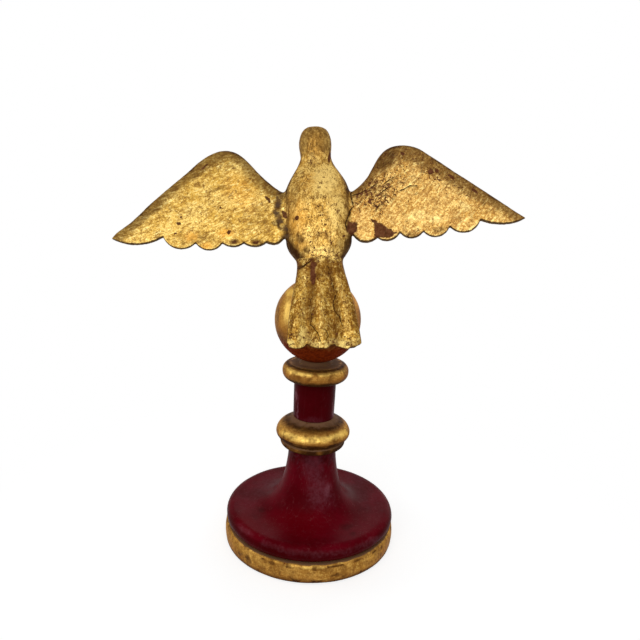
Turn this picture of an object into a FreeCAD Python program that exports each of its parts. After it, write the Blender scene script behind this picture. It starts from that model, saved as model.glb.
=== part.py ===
import FreeCAD, Part
import math
import os

# Carved wooden bird with spread wings, standing on a ball on a turned stand.
# Millimetres. The origin is the centre of the underside, +Z is up, and the bird
# turns its back to -Y, the side from which it is usually seen.

V = FreeCAD.Vector
os.makedirs("parts", exist_ok=True)

# Overall sizes of the turned stand
BASE_DIAMETER = 150.0
DISC_HEIGHT = 15.8
FOOT_HEIGHT = 71.0
LOWER_COLLAR_HEIGHT = 26.2
STEM_LENGTH = 35.4
UPPER_COLLAR_HEIGHT = 16.4
BALL_DIAMETER = 72.8

# Felt pad under the disc
FELT_THICKNESS = 1.2
FELT_INSET = 4.5

# Gilt disc
DISC_BULGE = 0.6
DISC_LOWER_ROUND = 1.2
DISC_UPPER_ROUND = 2.8

# Screws that hold the disc to the flared foot
SCREW_COUNT = 3
SCREW_CIRCLE_DIAMETER = 84.0
SCREW_SHANK_DIAMETER = 4.0
SCREW_HEAD_DIAMETER = 8.0
SCREW_LENGTH = 24.0
SCREW_POINT_LENGTH = 4.0
SCREW_CLEARANCE = 0.15

# Flared foot: a rolled rim, then a hollow sweep up to the neck
RIM_RADIUS = 6.9
RIM_INSET = 0.3
RIM_QUIRK_ANGLE = 4.0
NECK_DIAMETER = 42.6
SWEEP_SHARES = ((0.76, -0.009), (0.57, -0.002), (0.38, 0.0455), (0.20, 0.187),
                (0.081, 0.424), (0.015, 0.697), (-0.006, 0.879), (0.0, 1.0))

# Lower collar: a small ring with a larger knop over it, turned in one piece
RING_DIAMETER = 56.8
RING_HEIGHT = 6.7
KNOP_DIAMETER = 64.8
KNOP_SHARES = ((0.80, 0.0), (0.945, 0.087), (1.0, 0.272), (0.966, 0.492), (0.883, 0.662),
               (0.772, 0.779), (0.679, 0.846), (0.599, 0.908))

# Red stem and its round tenons
STEM_LOWER_DIAMETER = 35.6
STEM_UPPER_DIAMETER = 36.4
TENON_DIAMETER = 18.0
FOOT_TENON_DEPTH = 38.0
BALL_TENON_DEPTH = 24.0
GLUE_CLEARANCE = 0.15
END_CLEARANCE = 1.0

# Upper collar: a thick ring with a low seat for the ball
UPPER_RING_DIAMETER = 57.0
UPPER_RING_HEIGHT = 13.4
SEAT_FOOT_DIAMETER = 30.0

# Ball
BALL_FLAT_DIAMETER = 21.6

# How the bird stands: leaning forward over the ball and a little to its left
BODY_PITCH = 22.5
BODY_LEAN = -5.0
LEAN_PIVOT_ABOVE_BALL = 8.3

# Body, head and neck, measured in the bird's own frame: the middle of the ball
# is its zero, its z runs up the back and its y runs from back to breast
TAIL_JOINT_ABOVE_BALL = 7.6
TAIL_BEHIND_BALL = 2.12
BODY_LENGTH = 117.0
BODY_WIDTH = 56.0
BACK_DEPTH = 16.0
BREAST_DEPTH = 34.0
HEAD_TURN = 12.0
# Each row: share of the length, of half the width, of the back, of the breast and of the turn
BODY_SHARES = (
    (0.000, 0.693, 0.72, 0.50, 0.0),
    (0.047, 0.807, 0.84, 0.67, 0.0),
    (0.111, 0.943, 0.93, 0.81, 0.0),
    (0.188, 0.993, 0.98, 0.90, 0.0),
    (0.291, 1.000, 1.00, 0.97, 0.0),
    (0.410, 0.993, 0.98, 1.00, 0.0),
    (0.504, 0.950, 0.88, 0.95, 0.0),
    (0.581, 0.818, 0.74, 0.80, 0.0),
    (0.656, 0.633, 0.58, 0.61, 0.1),
    (0.709, 0.514, 0.50, 0.49, 0.3),
    (0.756, 0.457, 0.50, 0.44, 0.6),
    (0.812, 0.468, 0.60, 0.47, 0.9),
    (0.872, 0.479, 0.67, 0.52, 1.0),
    (0.927, 0.429, 0.61, 0.47, 1.0),
    (0.970, 0.286, 0.41, 0.31, 1.0),
)
CROWN_SHARE = 0.02
OVAL_SHARES = ((-1.0, 0.0), (-1.0, 0.42), (-0.66, 1.0), (0.66, 1.0), (1.0, 0.42), (1.0, 0.0))

# Beak and eyes
BEAK_LENGTH = 17.0
BEAK_ROOT_DIAMETER = 9.6
BEAK_HEIGHT_SHARE = 0.855
BEAK_DROP = 4.0
BEAK_ROOT_SHARE = 0.36
# Each row: share of the beak's length, of its drop and of its root diameter
BEAK_SHARES = ((0.0, 0.0, 1.0), (0.40, 0.06, 0.76), (0.75, 0.36, 0.46), (1.0, 1.0, 0.10))
EYE_DIAMETER = 4.6
EYE_HEIGHT_SHARE = 0.885
EYE_WIDTH_SHARE = 0.364
EYE_FORWARD_SHARE = 0.22

# Rounded belly under the end of the trunk
BELLY_WIDTH = 38.0
BELLY_DEPTH = 26.0
BELLY_HEIGHT = 20.0
BELLY_DROP = 6.0
BELLY_FORWARD = 4.5

# Thighs, short legs and toes that hold the ball
LEG_SPACING = 19.0
LEG_FORWARD = 18.0
THIGH_WIDTH = 17.0
THIGH_DEPTH = 19.0
THIGH_HEIGHT = 24.0
THIGH_SEAT_DEPTH = 2.1
ANKLE_ABOVE_BALL = 3.3
LEG_DIAMETER = 7.6
TOE_DIAMETER = 4.8
TOE_ANGLES = (-32.0, 0.0, 32.0, 180.0)
TOE_REACHES = (27.0, 30.0, 27.0, 13.0)
# Each row: share of a toe's reach and of its diameter, from the leg to the claw's point
TOE_SHARES = ((0.0, 1.0), (0.40, 0.88), (0.70, 0.86), (0.85, 0.46), (1.0, 0.12))
TOE_RISE_SHARE = 0.35
BALL_CLEARANCE = 0.2
LEG_PIN_DIAMETER = 2.8
LEG_PIN_LENGTH = 36.0
LEG_PIN_IN_BALL = 14.0
PIN_CLEARANCE = 0.1

# Wings: blades with a rounded leading edge and a scalloped trailing edge
WING_ROOT_INSET = 1.2
WING_BEHIND_AXIS = 6.5
WING_SWEEP = 8.0
WING_SPAN = 135.4
WING_HEIGHT = 82.6
TRAILING_LINE_RISE = 12.0
WING_ROOT_THICKNESS = 12.0
WING_TIP_THICKNESS = 4.5
TRAILING_THICKNESS = 4.2
WING_BEVEL = 13.0
BLADE_MARGIN = 7.0
# The blade's outline: shares of its thickness and, down from the top, of its bevel
BLADE_BACK_SHARES = ((0.62, 0.0), (0.20, 0.0), (0.0, 0.8), (0.0, 1.8))
BLADE_FRONT_SHARES = ((1.0, 1.8), (1.0, 0.4), (0.94, 0.0), (0.62, 0.0))
WAIST_BACK_SHARE = 0.04
WAIST_FRONT_SHARE = 0.80
HEEL_SHARE = 0.16
WAIST_HEIGHT_SHARE = 0.33
BEVEL_LIMIT_SHARE = 0.33
TRAILING_THINNING_SHARE = 0.5
ROOT_MARGIN = 4.0
# Shares of the span at which the blade is drawn, and of the height at each
SPAN_SHARES = (-0.030, 0.044, 0.103, 0.162, 0.222, 0.281, 0.340, 0.406, 0.473, 0.561,
               0.679, 0.798, 0.916, 1.012)
LEFT_LEADING_SHARES = (0.555, 0.610, 0.690, 0.790, 0.898, 0.974, 1.000, 0.981, 0.918, 0.786,
                       0.605, 0.421, 0.226, 0.061)
RIGHT_LEADING_SHARES = (0.540, 0.588, 0.678, 0.832, 0.940, 0.974, 0.970, 0.932, 0.853, 0.729,
                        0.563, 0.395, 0.228, 0.097)
# Trailing edge from root to tip: each scallop's notch and lowest point in turn
LEFT_TRAILING_SHARES = (
    (0.000, 0.100), (0.066, 0.030), (0.112, 0.050), (0.185, 0.005), (0.246, 0.041),
    (0.307, 0.003), (0.373, 0.041), (0.455, -0.033), (0.528, 0.043), (0.609, -0.022),
    (0.715, 0.102), (0.860, 0.024), (1.000, 0.077))
RIGHT_TRAILING_SHARES = (
    (0.000, 0.110), (0.077, 0.012), (0.149, 0.052), (0.212, 0.006), (0.284, 0.085),
    (0.354, 0.012), (0.421, 0.072), (0.491, 0.002), (0.572, 0.096), (0.646, 0.023),
    (0.747, 0.134), (0.885, 0.072), (1.000, 0.113))
WING_DOWEL_DIAMETER = 5.0
WING_DOWEL_LENGTH = 24.0
WING_DOWEL_INSET = 5.1
WING_DOWEL_HEIGHT_SHARES = (0.22, 0.44)

# Tail: three fluted lobes that hang behind the ball
TAIL_LENGTH = 73.0
TAIL_END_WIDTH = 57.2
TAIL_DRIFT = 1.7
TAIL_KICK = 9.0
TAIL_ROOT_THICKNESS = 15.0
TAIL_END_THICKNESS = 6.6
TAIL_ROOT_ROUND = 8.0
FLUTE_DEPTH = 3.6
# Each row: share of the length, of the widening, the thinning, the fluting and the drift
TAIL_SHARES = (
    (0.00, 0.00, 0.00, 0.00, 0.0),
    (0.20, 0.06, 0.40, 0.25, 0.5),
    (0.40, 0.40, 0.82, 0.60, 0.7),
    (0.62, 0.72, 1.00, 0.85, 0.7),
    (0.82, 0.95, 1.00, 1.00, 0.8),
    (1.07, 1.00, 1.00, 1.00, 1.0),
)
# Each row: share of half the width, of the round at the root and of a flute's depth
FLUTE_SHARES = (
    (-1.00, 1.00, 0.60), (-0.93, 0.30, 0.00), (-0.68, 0.06, -0.10), (-0.46, 0.00, 1.30),
    (-0.26, 0.00, 0.00), (-0.10, 0.00, -0.20), (0.08, 0.00, 0.00), (0.28, 0.00, 1.30),
    (0.50, 0.00, -0.05), (0.72, 0.06, -0.20), (0.93, 0.30, 0.00), (1.00, 1.00, 0.60))
TAIL_FRONT_SHARES = ((1.0, 0.85), (0.7, 1.0), (-0.7, 1.0), (-1.0, 0.85))
# Lower edge from left to right, as shares of half the width and of the length
TAIL_EDGE_SHARES = (
    (-1.15, 0.93), (-0.74, 0.992), (-0.46, 0.953), (-0.10, 1.006), (0.27, 0.963),
    (0.68, 1.014), (1.15, 0.95))
TAIL_DOWEL_DIAMETER = 4.0
TAIL_DOWEL_LENGTH = 22.0
TAIL_DOWEL_SPACING = 18.0
TAIL_DOWEL_INSET = 7.5

# Values worked out from those above
UP = V(0, 0, 1)
FULL_TURN = 360.0
base_radius = BASE_DIAMETER / 2
disc_top = FELT_THICKNESS + DISC_HEIGHT
foot_top = disc_top + FOOT_HEIGHT
collar_top = foot_top + LOWER_COLLAR_HEIGHT
stem_top = collar_top + STEM_LENGTH
seat_top = stem_top + UPPER_COLLAR_HEIGHT
ball_radius = BALL_DIAMETER / 2
ball_centre = seat_top + math.sqrt(ball_radius ** 2 - (BALL_FLAT_DIAMETER / 2) ** 2)
tenon_radius = TENON_DIAMETER / 2
tenon_bore = tenon_radius + GLUE_CLEARANCE
foot_bore_floor = foot_top - FOOT_TENON_DEPTH
ball_bore_roof = seat_top + BALL_TENON_DEPTH
tail_joint_height = ball_radius + TAIL_JOINT_ABOVE_BALL
tail_setback = ball_radius + TAIL_BEHIND_BALL
tail_root_width = BODY_WIDTH * BODY_SHARES[0][1]
body_axis_setback = tail_setback - BACK_DEPTH * BODY_SHARES[0][2]
crown_height = tail_joint_height + BODY_LENGTH
leg_setback = body_axis_setback - LEG_FORWARD
wing_root = BODY_WIDTH / 2 - WING_ROOT_INSET
wing_back_setback = body_axis_setback + WING_BEHIND_AXIS
trailing_line_height = tail_joint_height + TRAILING_LINE_RISE

# Where the bird stands: pitched about the ball's middle, then leaned about a point over it
pitched = FreeCAD.Placement(V(0, 0, ball_centre), FreeCAD.Rotation(V(1, 0, 0), -BODY_PITCH))
leaned = FreeCAD.Placement(V(0, 0, 0), FreeCAD.Rotation(V(0, 1, 0), BODY_LEAN),
                           V(0, 0, ball_centre + ball_radius + LEAN_PIVOT_ABOVE_BALL))
perch = leaned.multiply(pitched)
ball_middle = perch.inverse().multVec(V(0, 0, ball_centre))


def line(start, end):
    """Straight edge of a turned outline between two (radius, height) points."""
    return Part.LineSegment(V(start[0], 0, start[1]), V(end[0], 0, end[1])).toShape()


def arc(start, middle, end):
    """Round edge of a turned outline through three (radius, height) points."""
    return Part.Arc(*(V(r, 0, z) for r, z in (start, middle, end))).toShape()


def sweep(points, leaving=None, arriving=None):
    """Smooth edge of a turned outline through (radius, height) points, with given end directions."""
    spline = Part.BSplineCurve()
    places = [V(r, 0, z) for r, z in points]
    if leaving:
        spline.interpolate(Points=places, InitialTangent=leaving, FinalTangent=arriving)
    else:
        spline.interpolate(places)
    return spline.toShape()


def turned(edges):
    """Solid of revolution about the stand's axis."""
    return Part.Face(Part.Wire(edges)).revolve(V(0, 0, 0), UP, FULL_TURN)


def rod(diameter, length, start, direction=UP):
    """Round rod from a point along a direction."""
    return Part.makeCylinder(diameter / 2, length, start, direction)


def pole_curve(poles):
    """Smooth curve led by its poles, with the same knots for any set of as many poles."""
    spline = Part.BSplineCurve()
    spline.buildFromPoles(poles)
    return spline.toShape()


def loft(wires, straight=False):
    """Solid through closed outlines, smooth unless its sides are to run straight."""
    return Part.makeLoft(wires, True, straight)


def egg(width, depth, height, middle):
    """Solid oval with its own size along each axis: a unit ball, stretched and moved."""
    stretch = FreeCAD.Matrix()
    stretch.scale(V(width / 2, depth / 2, height / 2))
    stretch.move(middle)
    return Part.makeSphere(1).transformGeometry(stretch)


def perched(shape):
    """A shape of the bird's own frame, put where the bird stands over the ball."""
    shape = shape.copy()
    shape.Placement = perch.multiply(shape.Placement)
    return shape


def foot_point(side):
    """Where the middle of one leg meets the ball, in the bird's own frame."""
    across = side * LEG_SPACING / 2 - ball_middle.x
    back = -leg_setback - ball_middle.y
    up = math.sqrt(ball_radius ** 2 - across ** 2 - back ** 2)
    return ball_middle + V(across, back, up)


def ankle_height():
    """Height of the flat where both legs meet the thighs."""
    highest = max(foot_point(side).z for side in (-1, 1))
    return highest + ANKLE_ABOVE_BALL + TOE_DIAMETER / 2


def save(name, shape):
    """Write one node, and say what it holds."""
    shape.exportStep(f"parts/{name}.step")
    solids = len(shape.Solids)
    print(f"{name}: {solids} solid(s), volume {shape.Volume:.0f}, valid {shape.isValid()}")


def make_felt():
    """Round felt pad, set in from the edge of the disc."""
    return rod(BASE_DIAMETER - FELT_INSET * 2, FELT_THICKNESS, V(0, 0, 0))


def screw_profile(grow):
    """Outline of a countersunk wood screw, head down, grown by a clearance."""
    head = SCREW_HEAD_DIAMETER / 2 + grow
    shank = SCREW_SHANK_DIAMETER / 2 + grow
    taper_end = FELT_THICKNESS + head - shank
    tip = FELT_THICKNESS + SCREW_LENGTH + grow
    corners = ((0, FELT_THICKNESS), (head, FELT_THICKNESS), (shank, taper_end),
               (shank, tip - SCREW_POINT_LENGTH), (0, tip))
    ends = corners[1:] + corners[:1]
    return turned([line(a, b) for a, b in zip(corners, ends)])


def screw_set(grow=0):
    """The ring of screws, or with a clearance the holes that they turn in."""
    screws = []
    for index in range(SCREW_COUNT):
        screw = screw_profile(grow)
        screw.translate(V(SCREW_CIRCLE_DIAMETER / 2, 0, 0))
        screw.rotate(V(0, 0, 0), UP, FULL_TURN * (index + 0.5) / SCREW_COUNT)
        screws.append(screw)
    return Part.makeCompound(screws)


def make_disc():
    """Gilt disc with a slightly rounded band, drilled for the screws."""
    low, high = FELT_THICKNESS, disc_top
    lower, upper = DISC_LOWER_ROUND, DISC_UPPER_ROUND
    corner = 1 - math.sqrt(0.5)
    edges = [
        line((0, low), (base_radius - lower, low)),
        arc((base_radius - lower, low), (base_radius - lower * corner, low + lower * corner),
            (base_radius, low + lower)),
        arc((base_radius, low + lower), (base_radius + DISC_BULGE, (low + high) / 2),
            (base_radius, high - upper)),
        arc((base_radius, high - upper), (base_radius - upper * corner, high - upper * corner),
            (base_radius - upper, high)),
        line((base_radius - upper, high), (0, high)),
        line((0, high), (0, low)),
    ]
    return turned(edges).cut(screw_set(SCREW_CLEARANCE))


def make_flared_foot():
    """Red foot: rolled rim, hollow sweep and neck, bored for the stem's tenon."""
    rim_centre = base_radius - RIM_INSET - RIM_RADIUS
    quirk = math.radians(RIM_QUIRK_ANGLE)
    rim_axis = disc_top + RIM_RADIUS
    quirk_point = (rim_centre - RIM_RADIUS * math.sin(quirk), rim_axis + RIM_RADIUS * math.cos(quirk))
    neck_radius = NECK_DIAMETER / 2
    points = [quirk_point]
    for across, up in SWEEP_SHARES:
        points.append((neck_radius + across * (quirk_point[0] - neck_radius),
                       quirk_point[1] + up * (foot_top - quirk_point[1])))
    edges = [
        line((0, disc_top), (rim_centre, disc_top)),
        arc((rim_centre, disc_top), (rim_centre + RIM_RADIUS, rim_axis), quirk_point),
        sweep(points, V(-math.cos(quirk), 0, -math.sin(quirk)), UP),
        line((neck_radius, foot_top), (tenon_bore, foot_top)),
        line((tenon_bore, foot_top), (tenon_bore, foot_bore_floor)),
        line((tenon_bore, foot_bore_floor), (0, foot_bore_floor)),
        line((0, foot_bore_floor), (0, disc_top)),
    ]
    return turned(edges).cut(screw_set(SCREW_CLEARANCE))


def make_lower_collar():
    """Gilt collar at the neck: small ring below, knop that domes and hollows up to the stem."""
    ring_round = RING_HEIGHT / 2
    ring_centre = RING_DIAMETER / 2 - ring_round
    knop_floor = foot_top + RING_HEIGHT
    knop_height = collar_top - knop_floor
    knop = [(across * KNOP_DIAMETER / 2, knop_floor + up * knop_height) for across, up in KNOP_SHARES]
    knop.append((STEM_LOWER_DIAMETER / 2, collar_top))
    edges = [
        line((tenon_bore, foot_top), (ring_centre, foot_top)),
        arc((ring_centre, foot_top), (ring_centre + ring_round, foot_top + ring_round),
            (ring_centre, knop_floor)),
        line((ring_centre, knop_floor), knop[0]),
        sweep(knop),
        line(knop[-1], (tenon_bore, collar_top)),
        line((tenon_bore, collar_top), (tenon_bore, foot_top)),
    ]
    return turned(edges)


def make_stem():
    """Red stem with a long tenon down into the foot and a short one up into the ball."""
    low, high = STEM_LOWER_DIAMETER / 2, STEM_UPPER_DIAMETER / 2
    tenon_floor = foot_bore_floor + END_CLEARANCE
    tenon_roof = ball_bore_roof - END_CLEARANCE
    corners = ((0, tenon_floor), (tenon_radius, tenon_floor), (tenon_radius, collar_top),
               (low, collar_top), (high, stem_top), (tenon_radius, stem_top),
               (tenon_radius, tenon_roof), (0, tenon_roof))
    ends = corners[1:] + corners[:1]
    return turned([line(a, b) for a, b in zip(corners, ends)])


def make_upper_collar():
    """Gilt ring over the stem, with a low seat under the ball."""
    ring_round = UPPER_RING_HEIGHT / 2
    ring_centre = UPPER_RING_DIAMETER / 2 - ring_round
    ring_top = stem_top + UPPER_RING_HEIGHT
    seat_foot = (SEAT_FOOT_DIAMETER / 2, ring_top)
    seat_edge = (BALL_FLAT_DIAMETER / 2, seat_top)
    hollow = (seat_edge[0] + (seat_foot[0] - seat_edge[0]) / 3, (ring_top + seat_top) / 2)
    edges = [
        line((tenon_bore, stem_top), (ring_centre, stem_top)),
        arc((ring_centre, stem_top), (ring_centre + ring_round, stem_top + ring_round),
            (ring_centre, ring_top)),
        line((ring_centre, ring_top), seat_foot),
        arc(seat_foot, hollow, seat_edge),
        line(seat_edge, (tenon_bore, seat_top)),
        line((tenon_bore, seat_top), (tenon_bore, stem_top)),
    ]
    return turned(edges)


def make_ball():
    """Gilt ball with a flat where it sits, bored for the tenon and the leg pins."""
    middle = V(0, 0, ball_centre)
    ball = Part.makeSphere(ball_radius, middle)
    below = rod(BALL_DIAMETER, ball_radius, V(0, 0, seat_top - ball_radius))
    bore = rod(tenon_bore * 2, BALL_TENON_DEPTH, V(0, 0, seat_top))
    return ball.cut(below).cut(bore).cut(perched(leg_pins(PIN_CLEARANCE)))


def body_outline(row):
    """Closed outline across the body: an oval with a flatter back and a deeper breast."""
    along, across, back, breast, turn = row
    height = tail_joint_height + along * BODY_LENGTH
    half = across * BODY_WIDTH / 2
    back_poles = [V(x * half, -body_axis_setback - y * back * BACK_DEPTH, height)
                  for x, y in OVAL_SHARES]
    breast_poles = [V(-x * half, -body_axis_setback + y * breast * BREAST_DEPTH, height)
                    for x, y in OVAL_SHARES]
    outline = Part.Wire([pole_curve(back_poles), pole_curve(breast_poles)])
    outline.rotate(V(0, -body_axis_setback, 0), UP, turn * HEAD_TURN)
    return outline


def make_beak():
    """Slim curved beak, drawn as a loft and sunk into the front of the head."""
    rings = []
    for along, down, thick in BEAK_SHARES:
        middle = V(0, along * BEAK_LENGTH, -down * BEAK_DROP)
        ring = Part.makeCircle(thick * BEAK_ROOT_DIAMETER / 2, middle, V(0, 1, 0))
        rings.append(Part.Wire(ring))
    beak = loft(rings)
    root = V(0, BEAK_ROOT_SHARE * BREAST_DEPTH - body_axis_setback,
             tail_joint_height + BEAK_HEIGHT_SHARE * BODY_LENGTH)
    beak.translate(root)
    beak.rotate(V(0, -body_axis_setback, 0), UP, HEAD_TURN)
    return beak


def make_eye(side):
    """Low round eye on one side of the head."""
    middle = V(side * EYE_WIDTH_SHARE * BODY_WIDTH / 2,
               EYE_FORWARD_SHARE * BREAST_DEPTH - body_axis_setback,
               tail_joint_height + EYE_HEIGHT_SHARE * BODY_LENGTH)
    eye = Part.makeSphere(EYE_DIAMETER / 2, middle)
    eye.rotate(V(0, -body_axis_setback, 0), UP, HEAD_TURN)
    return eye


def make_thigh(side):
    """Egg-shaped thigh, cut flat as a seat for the leg."""
    seat = V(side * LEG_SPACING / 2, -leg_setback, ankle_height())
    thigh = egg(THIGH_WIDTH, THIGH_DEPTH, THIGH_HEIGHT, seat + UP * (THIGH_HEIGHT / 2 - THIGH_SEAT_DEPTH))
    return thigh.cut(rod(THIGH_DEPTH * 2, THIGH_HEIGHT, seat - UP * THIGH_HEIGHT))


def make_belly():
    """Rounded underside of the trunk, flat where the tail passes behind it."""
    floor = tail_joint_height - BELLY_DROP
    belly = egg(BELLY_WIDTH, BELLY_DEPTH, BELLY_HEIGHT,
                V(0, BELLY_FORWARD - body_axis_setback, floor + BELLY_HEIGHT / 2))
    behind = Part.makeBox(BELLY_WIDTH, BELLY_DEPTH, BELLY_DROP,
                          V(-BELLY_WIDTH / 2, TAIL_ROOT_THICKNESS - tail_setback - BELLY_DEPTH, floor))
    return belly.cut(behind)


def wing_dowels(side, grow=0):
    """Pair of dowels across one wing's root joint, or with a clearance their holes."""
    length = WING_DOWEL_LENGTH + grow * 2
    pegs = []
    for share in WING_DOWEL_HEIGHT_SHARES:
        middle = V(side * wing_root, WING_DOWEL_INSET - wing_back_setback,
                   trailing_line_height + share * WING_HEIGHT)
        start = middle - V(length / 2, 0, 0)
        pegs.append(rod(WING_DOWEL_DIAMETER + grow * 2, length, start, V(1, 0, 0)))
    return Part.makeCompound(pegs)


def tail_dowels(grow=0):
    """Pair of dowels up through the tail's joint, or with a clearance their holes."""
    length = TAIL_DOWEL_LENGTH + grow * 2
    pegs = []
    for side in (-1, 1):
        start = V(side * TAIL_DOWEL_SPACING / 2, TAIL_DOWEL_INSET - tail_setback,
                  tail_joint_height - length / 2)
        pegs.append(rod(TAIL_DOWEL_DIAMETER + grow * 2, length, start))
    return Part.makeCompound(pegs)


def leg_pins(grow=0):
    """Iron pins down through both legs into the ball, or with a clearance their holes."""
    length = LEG_PIN_LENGTH + grow * 2
    pins = []
    for side in (-1, 1):
        start = foot_point(side) - V(0, 0, LEG_PIN_IN_BALL + grow)
        pins.append(rod(LEG_PIN_DIAMETER + grow * 2, length, start))
    return Part.makeCompound(pins)


def make_body():
    """Body, neck, head and thighs, cut flat where the wings and the tail are joined."""
    outlines = [body_outline(row) for row in BODY_SHARES]
    crown = V(0, -body_axis_setback + CROWN_SHARE * BREAST_DEPTH, crown_height)
    body = loft(outlines + [Part.Vertex(crown)]).fuse(make_belly())
    for side in (-1, 1):
        body = body.fuse(make_thigh(side)).fuse(make_eye(side))
    body = body.fuse(make_beak())
    for side in (-1, 1):
        corner = V(wing_root, -BODY_WIDTH, tail_joint_height)
        flank = Part.makeBox(BODY_WIDTH, BODY_WIDTH * 2, BODY_LENGTH, corner)
        if side < 0:
            flank = flank.mirror(V(0, 0, 0), V(1, 0, 0))
        body = body.cut(flank).cut(wing_dowels(side, GLUE_CLEARANCE))
    return body.cut(tail_dowels(GLUE_CLEARANCE)).cut(leg_pins(PIN_CLEARANCE))


def blade_outline(span, top):
    """Outline across the wing: rounded leading edge above, thin trailing edge below."""
    reach = span / WING_SPAN
    thick = WING_ROOT_THICKNESS + (WING_TIP_THICKNESS - WING_ROOT_THICKNESS) * reach
    low = trailing_line_height - BLADE_MARGIN
    tall = top - low
    bevel = min(WING_BEVEL, tall * BEVEL_LIMIT_SHARE)
    waist = low + tall * WAIST_HEIGHT_SHARE
    edge = TRAILING_THICKNESS * (1 - reach * TRAILING_THINNING_SHARE)
    heel = V(span, thick * HEEL_SHARE, low)
    toe = heel + V(0, edge, 0)
    back = [V(span, thick * deep, top - bevel * down) for deep, down in BLADE_BACK_SHARES]
    back += [V(span, thick * WAIST_BACK_SHARE, waist), heel]
    front = [toe, V(span, thick * WAIST_FRONT_SHARE, waist)]
    front += [V(span, thick * deep, top - bevel * down) for deep, down in BLADE_FRONT_SHARES]
    end = Part.LineSegment(heel, toe).toShape()
    return Part.Wire([pole_curve(back), end, pole_curve(front)])


def trailing_prism(shares):
    """Everything over the scalloped edge: arcs from notch to notch, and one long last feather."""
    far = WING_SPAN + WING_HEIGHT
    marks = [V(along * WING_SPAN, -WING_HEIGHT, trailing_line_height + up * WING_HEIGHT)
             for along, up in shares]
    roof = trailing_line_height + WING_HEIGHT * 2
    root_low = V(-ROOT_MARGIN * 2, -WING_HEIGHT, marks[0].z)
    root_high = V(-ROOT_MARGIN * 2, -WING_HEIGHT, roof)
    tip_low = V(far, -WING_HEIGHT, marks[-1].z)
    tip_high = V(far, -WING_HEIGHT, roof)
    edges = [Part.LineSegment(root_high, root_low).toShape(), Part.LineSegment(root_low, marks[0]).toShape()]
    for index in range(0, len(marks) - 1, 2):
        edges.append(Part.Arc(*marks[index:index + 3]).toShape())
    edges += [Part.LineSegment(a, b).toShape()
              for a, b in ((marks[-1], tip_low), (tip_low, tip_high), (tip_high, root_high))]
    return Part.Face(Part.Wire(edges)).extrude(V(0, WING_HEIGHT * 2, 0))


def make_wing(side, leading_shares, trailing_shares):
    """One wing: a lofted blade, cut to its scallops, swept back and flat at its root."""
    outlines = [blade_outline(along * WING_SPAN, trailing_line_height + up * WING_HEIGHT)
                for along, up in zip(SPAN_SHARES, leading_shares)]
    wing = loft(outlines).common(trailing_prism(trailing_shares))
    wing.rotate(V(0, 0, 0), UP, -WING_SWEEP)
    wing.translate(V(wing_root, -wing_back_setback, 0))
    inner = Part.makeBox(WING_SPAN, WING_SPAN * 2, WING_HEIGHT * 3,
                         V(wing_root - WING_SPAN, -WING_SPAN, 0))
    wing = wing.cut(inner)
    if side < 0:
        wing = wing.mirror(V(0, 0, 0), V(1, 0, 0))
    return wing.cut(wing_dowels(side, GLUE_CLEARANCE))


def tail_outline(row):
    """Closed outline across the tail: fluted back, plain front, blunt sides."""
    along, widening, thinning, fluting, drift = row
    height = tail_joint_height - along * TAIL_LENGTH
    half = (tail_root_width + widening * (TAIL_END_WIDTH - tail_root_width)) / 2
    thick = TAIL_ROOT_THICKNESS + thinning * (TAIL_END_THICKNESS - TAIL_ROOT_THICKNESS)
    middle = drift * TAIL_DRIFT
    back = -tail_setback - along * TAIL_KICK
    root_round = TAIL_ROOT_ROUND * (1 - thinning)
    back_poles = [V(middle + x * half, back + round_in * root_round + flute * fluting * FLUTE_DEPTH, height)
                  for x, round_in, flute in FLUTE_SHARES]
    front_poles = [V(middle + x * half, back + y * thick, height) for x, y in TAIL_FRONT_SHARES]
    right = Part.LineSegment(back_poles[-1], front_poles[0]).toShape()
    left = Part.LineSegment(front_poles[-1], back_poles[0]).toShape()
    return Part.Wire([pole_curve(back_poles), right, pole_curve(front_poles), left])


def tail_prism():
    """Everything over the tail's lower edge, which has three shallow lobes."""
    half = TAIL_END_WIDTH / 2
    near = -TAIL_LENGTH
    marks = [V(TAIL_DRIFT + x * half, near, tail_joint_height - down * TAIL_LENGTH)
             for x, down in TAIL_EDGE_SHARES]
    roof = tail_joint_height + TAIL_LENGTH
    right_high = V(marks[-1].x, near, roof)
    left_high = V(marks[0].x, near, roof)
    edges = [Part.Arc(*marks[index:index + 3]).toShape() for index in range(0, len(marks) - 1, 2)]
    edges += [Part.LineSegment(a, b).toShape()
              for a, b in ((marks[-1], right_high), (right_high, left_high), (left_high, marks[0]))]
    return Part.Face(Part.Wire(edges)).extrude(V(0, TAIL_LENGTH * 2, 0))


def make_tail():
    """Tail: a fluted fan that widens down behind the ball, cut to its lobed edge."""
    tail = loft([tail_outline(row) for row in TAIL_SHARES]).common(tail_prism())
    return tail.cut(tail_dowels(GLUE_CLEARANCE))


def make_toe(outward, heading, reach):
    """One toe, jointed and tapered, bent round the ball from under the leg to the claw's point."""
    axis = outward.cross(heading)
    rings = []
    for along, thick in TOE_SHARES:
        radius = thick * TOE_DIAMETER / 2
        spoke = FreeCAD.Rotation(axis, along * reach).multVec(outward)
        rise = ball_radius + BALL_CLEARANCE + radius * TOE_RISE_SHARE
        rings.append(Part.Wire(Part.makeCircle(radius, ball_middle + spoke * rise, axis.cross(spoke))))
    return loft(rings, True)


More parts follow.
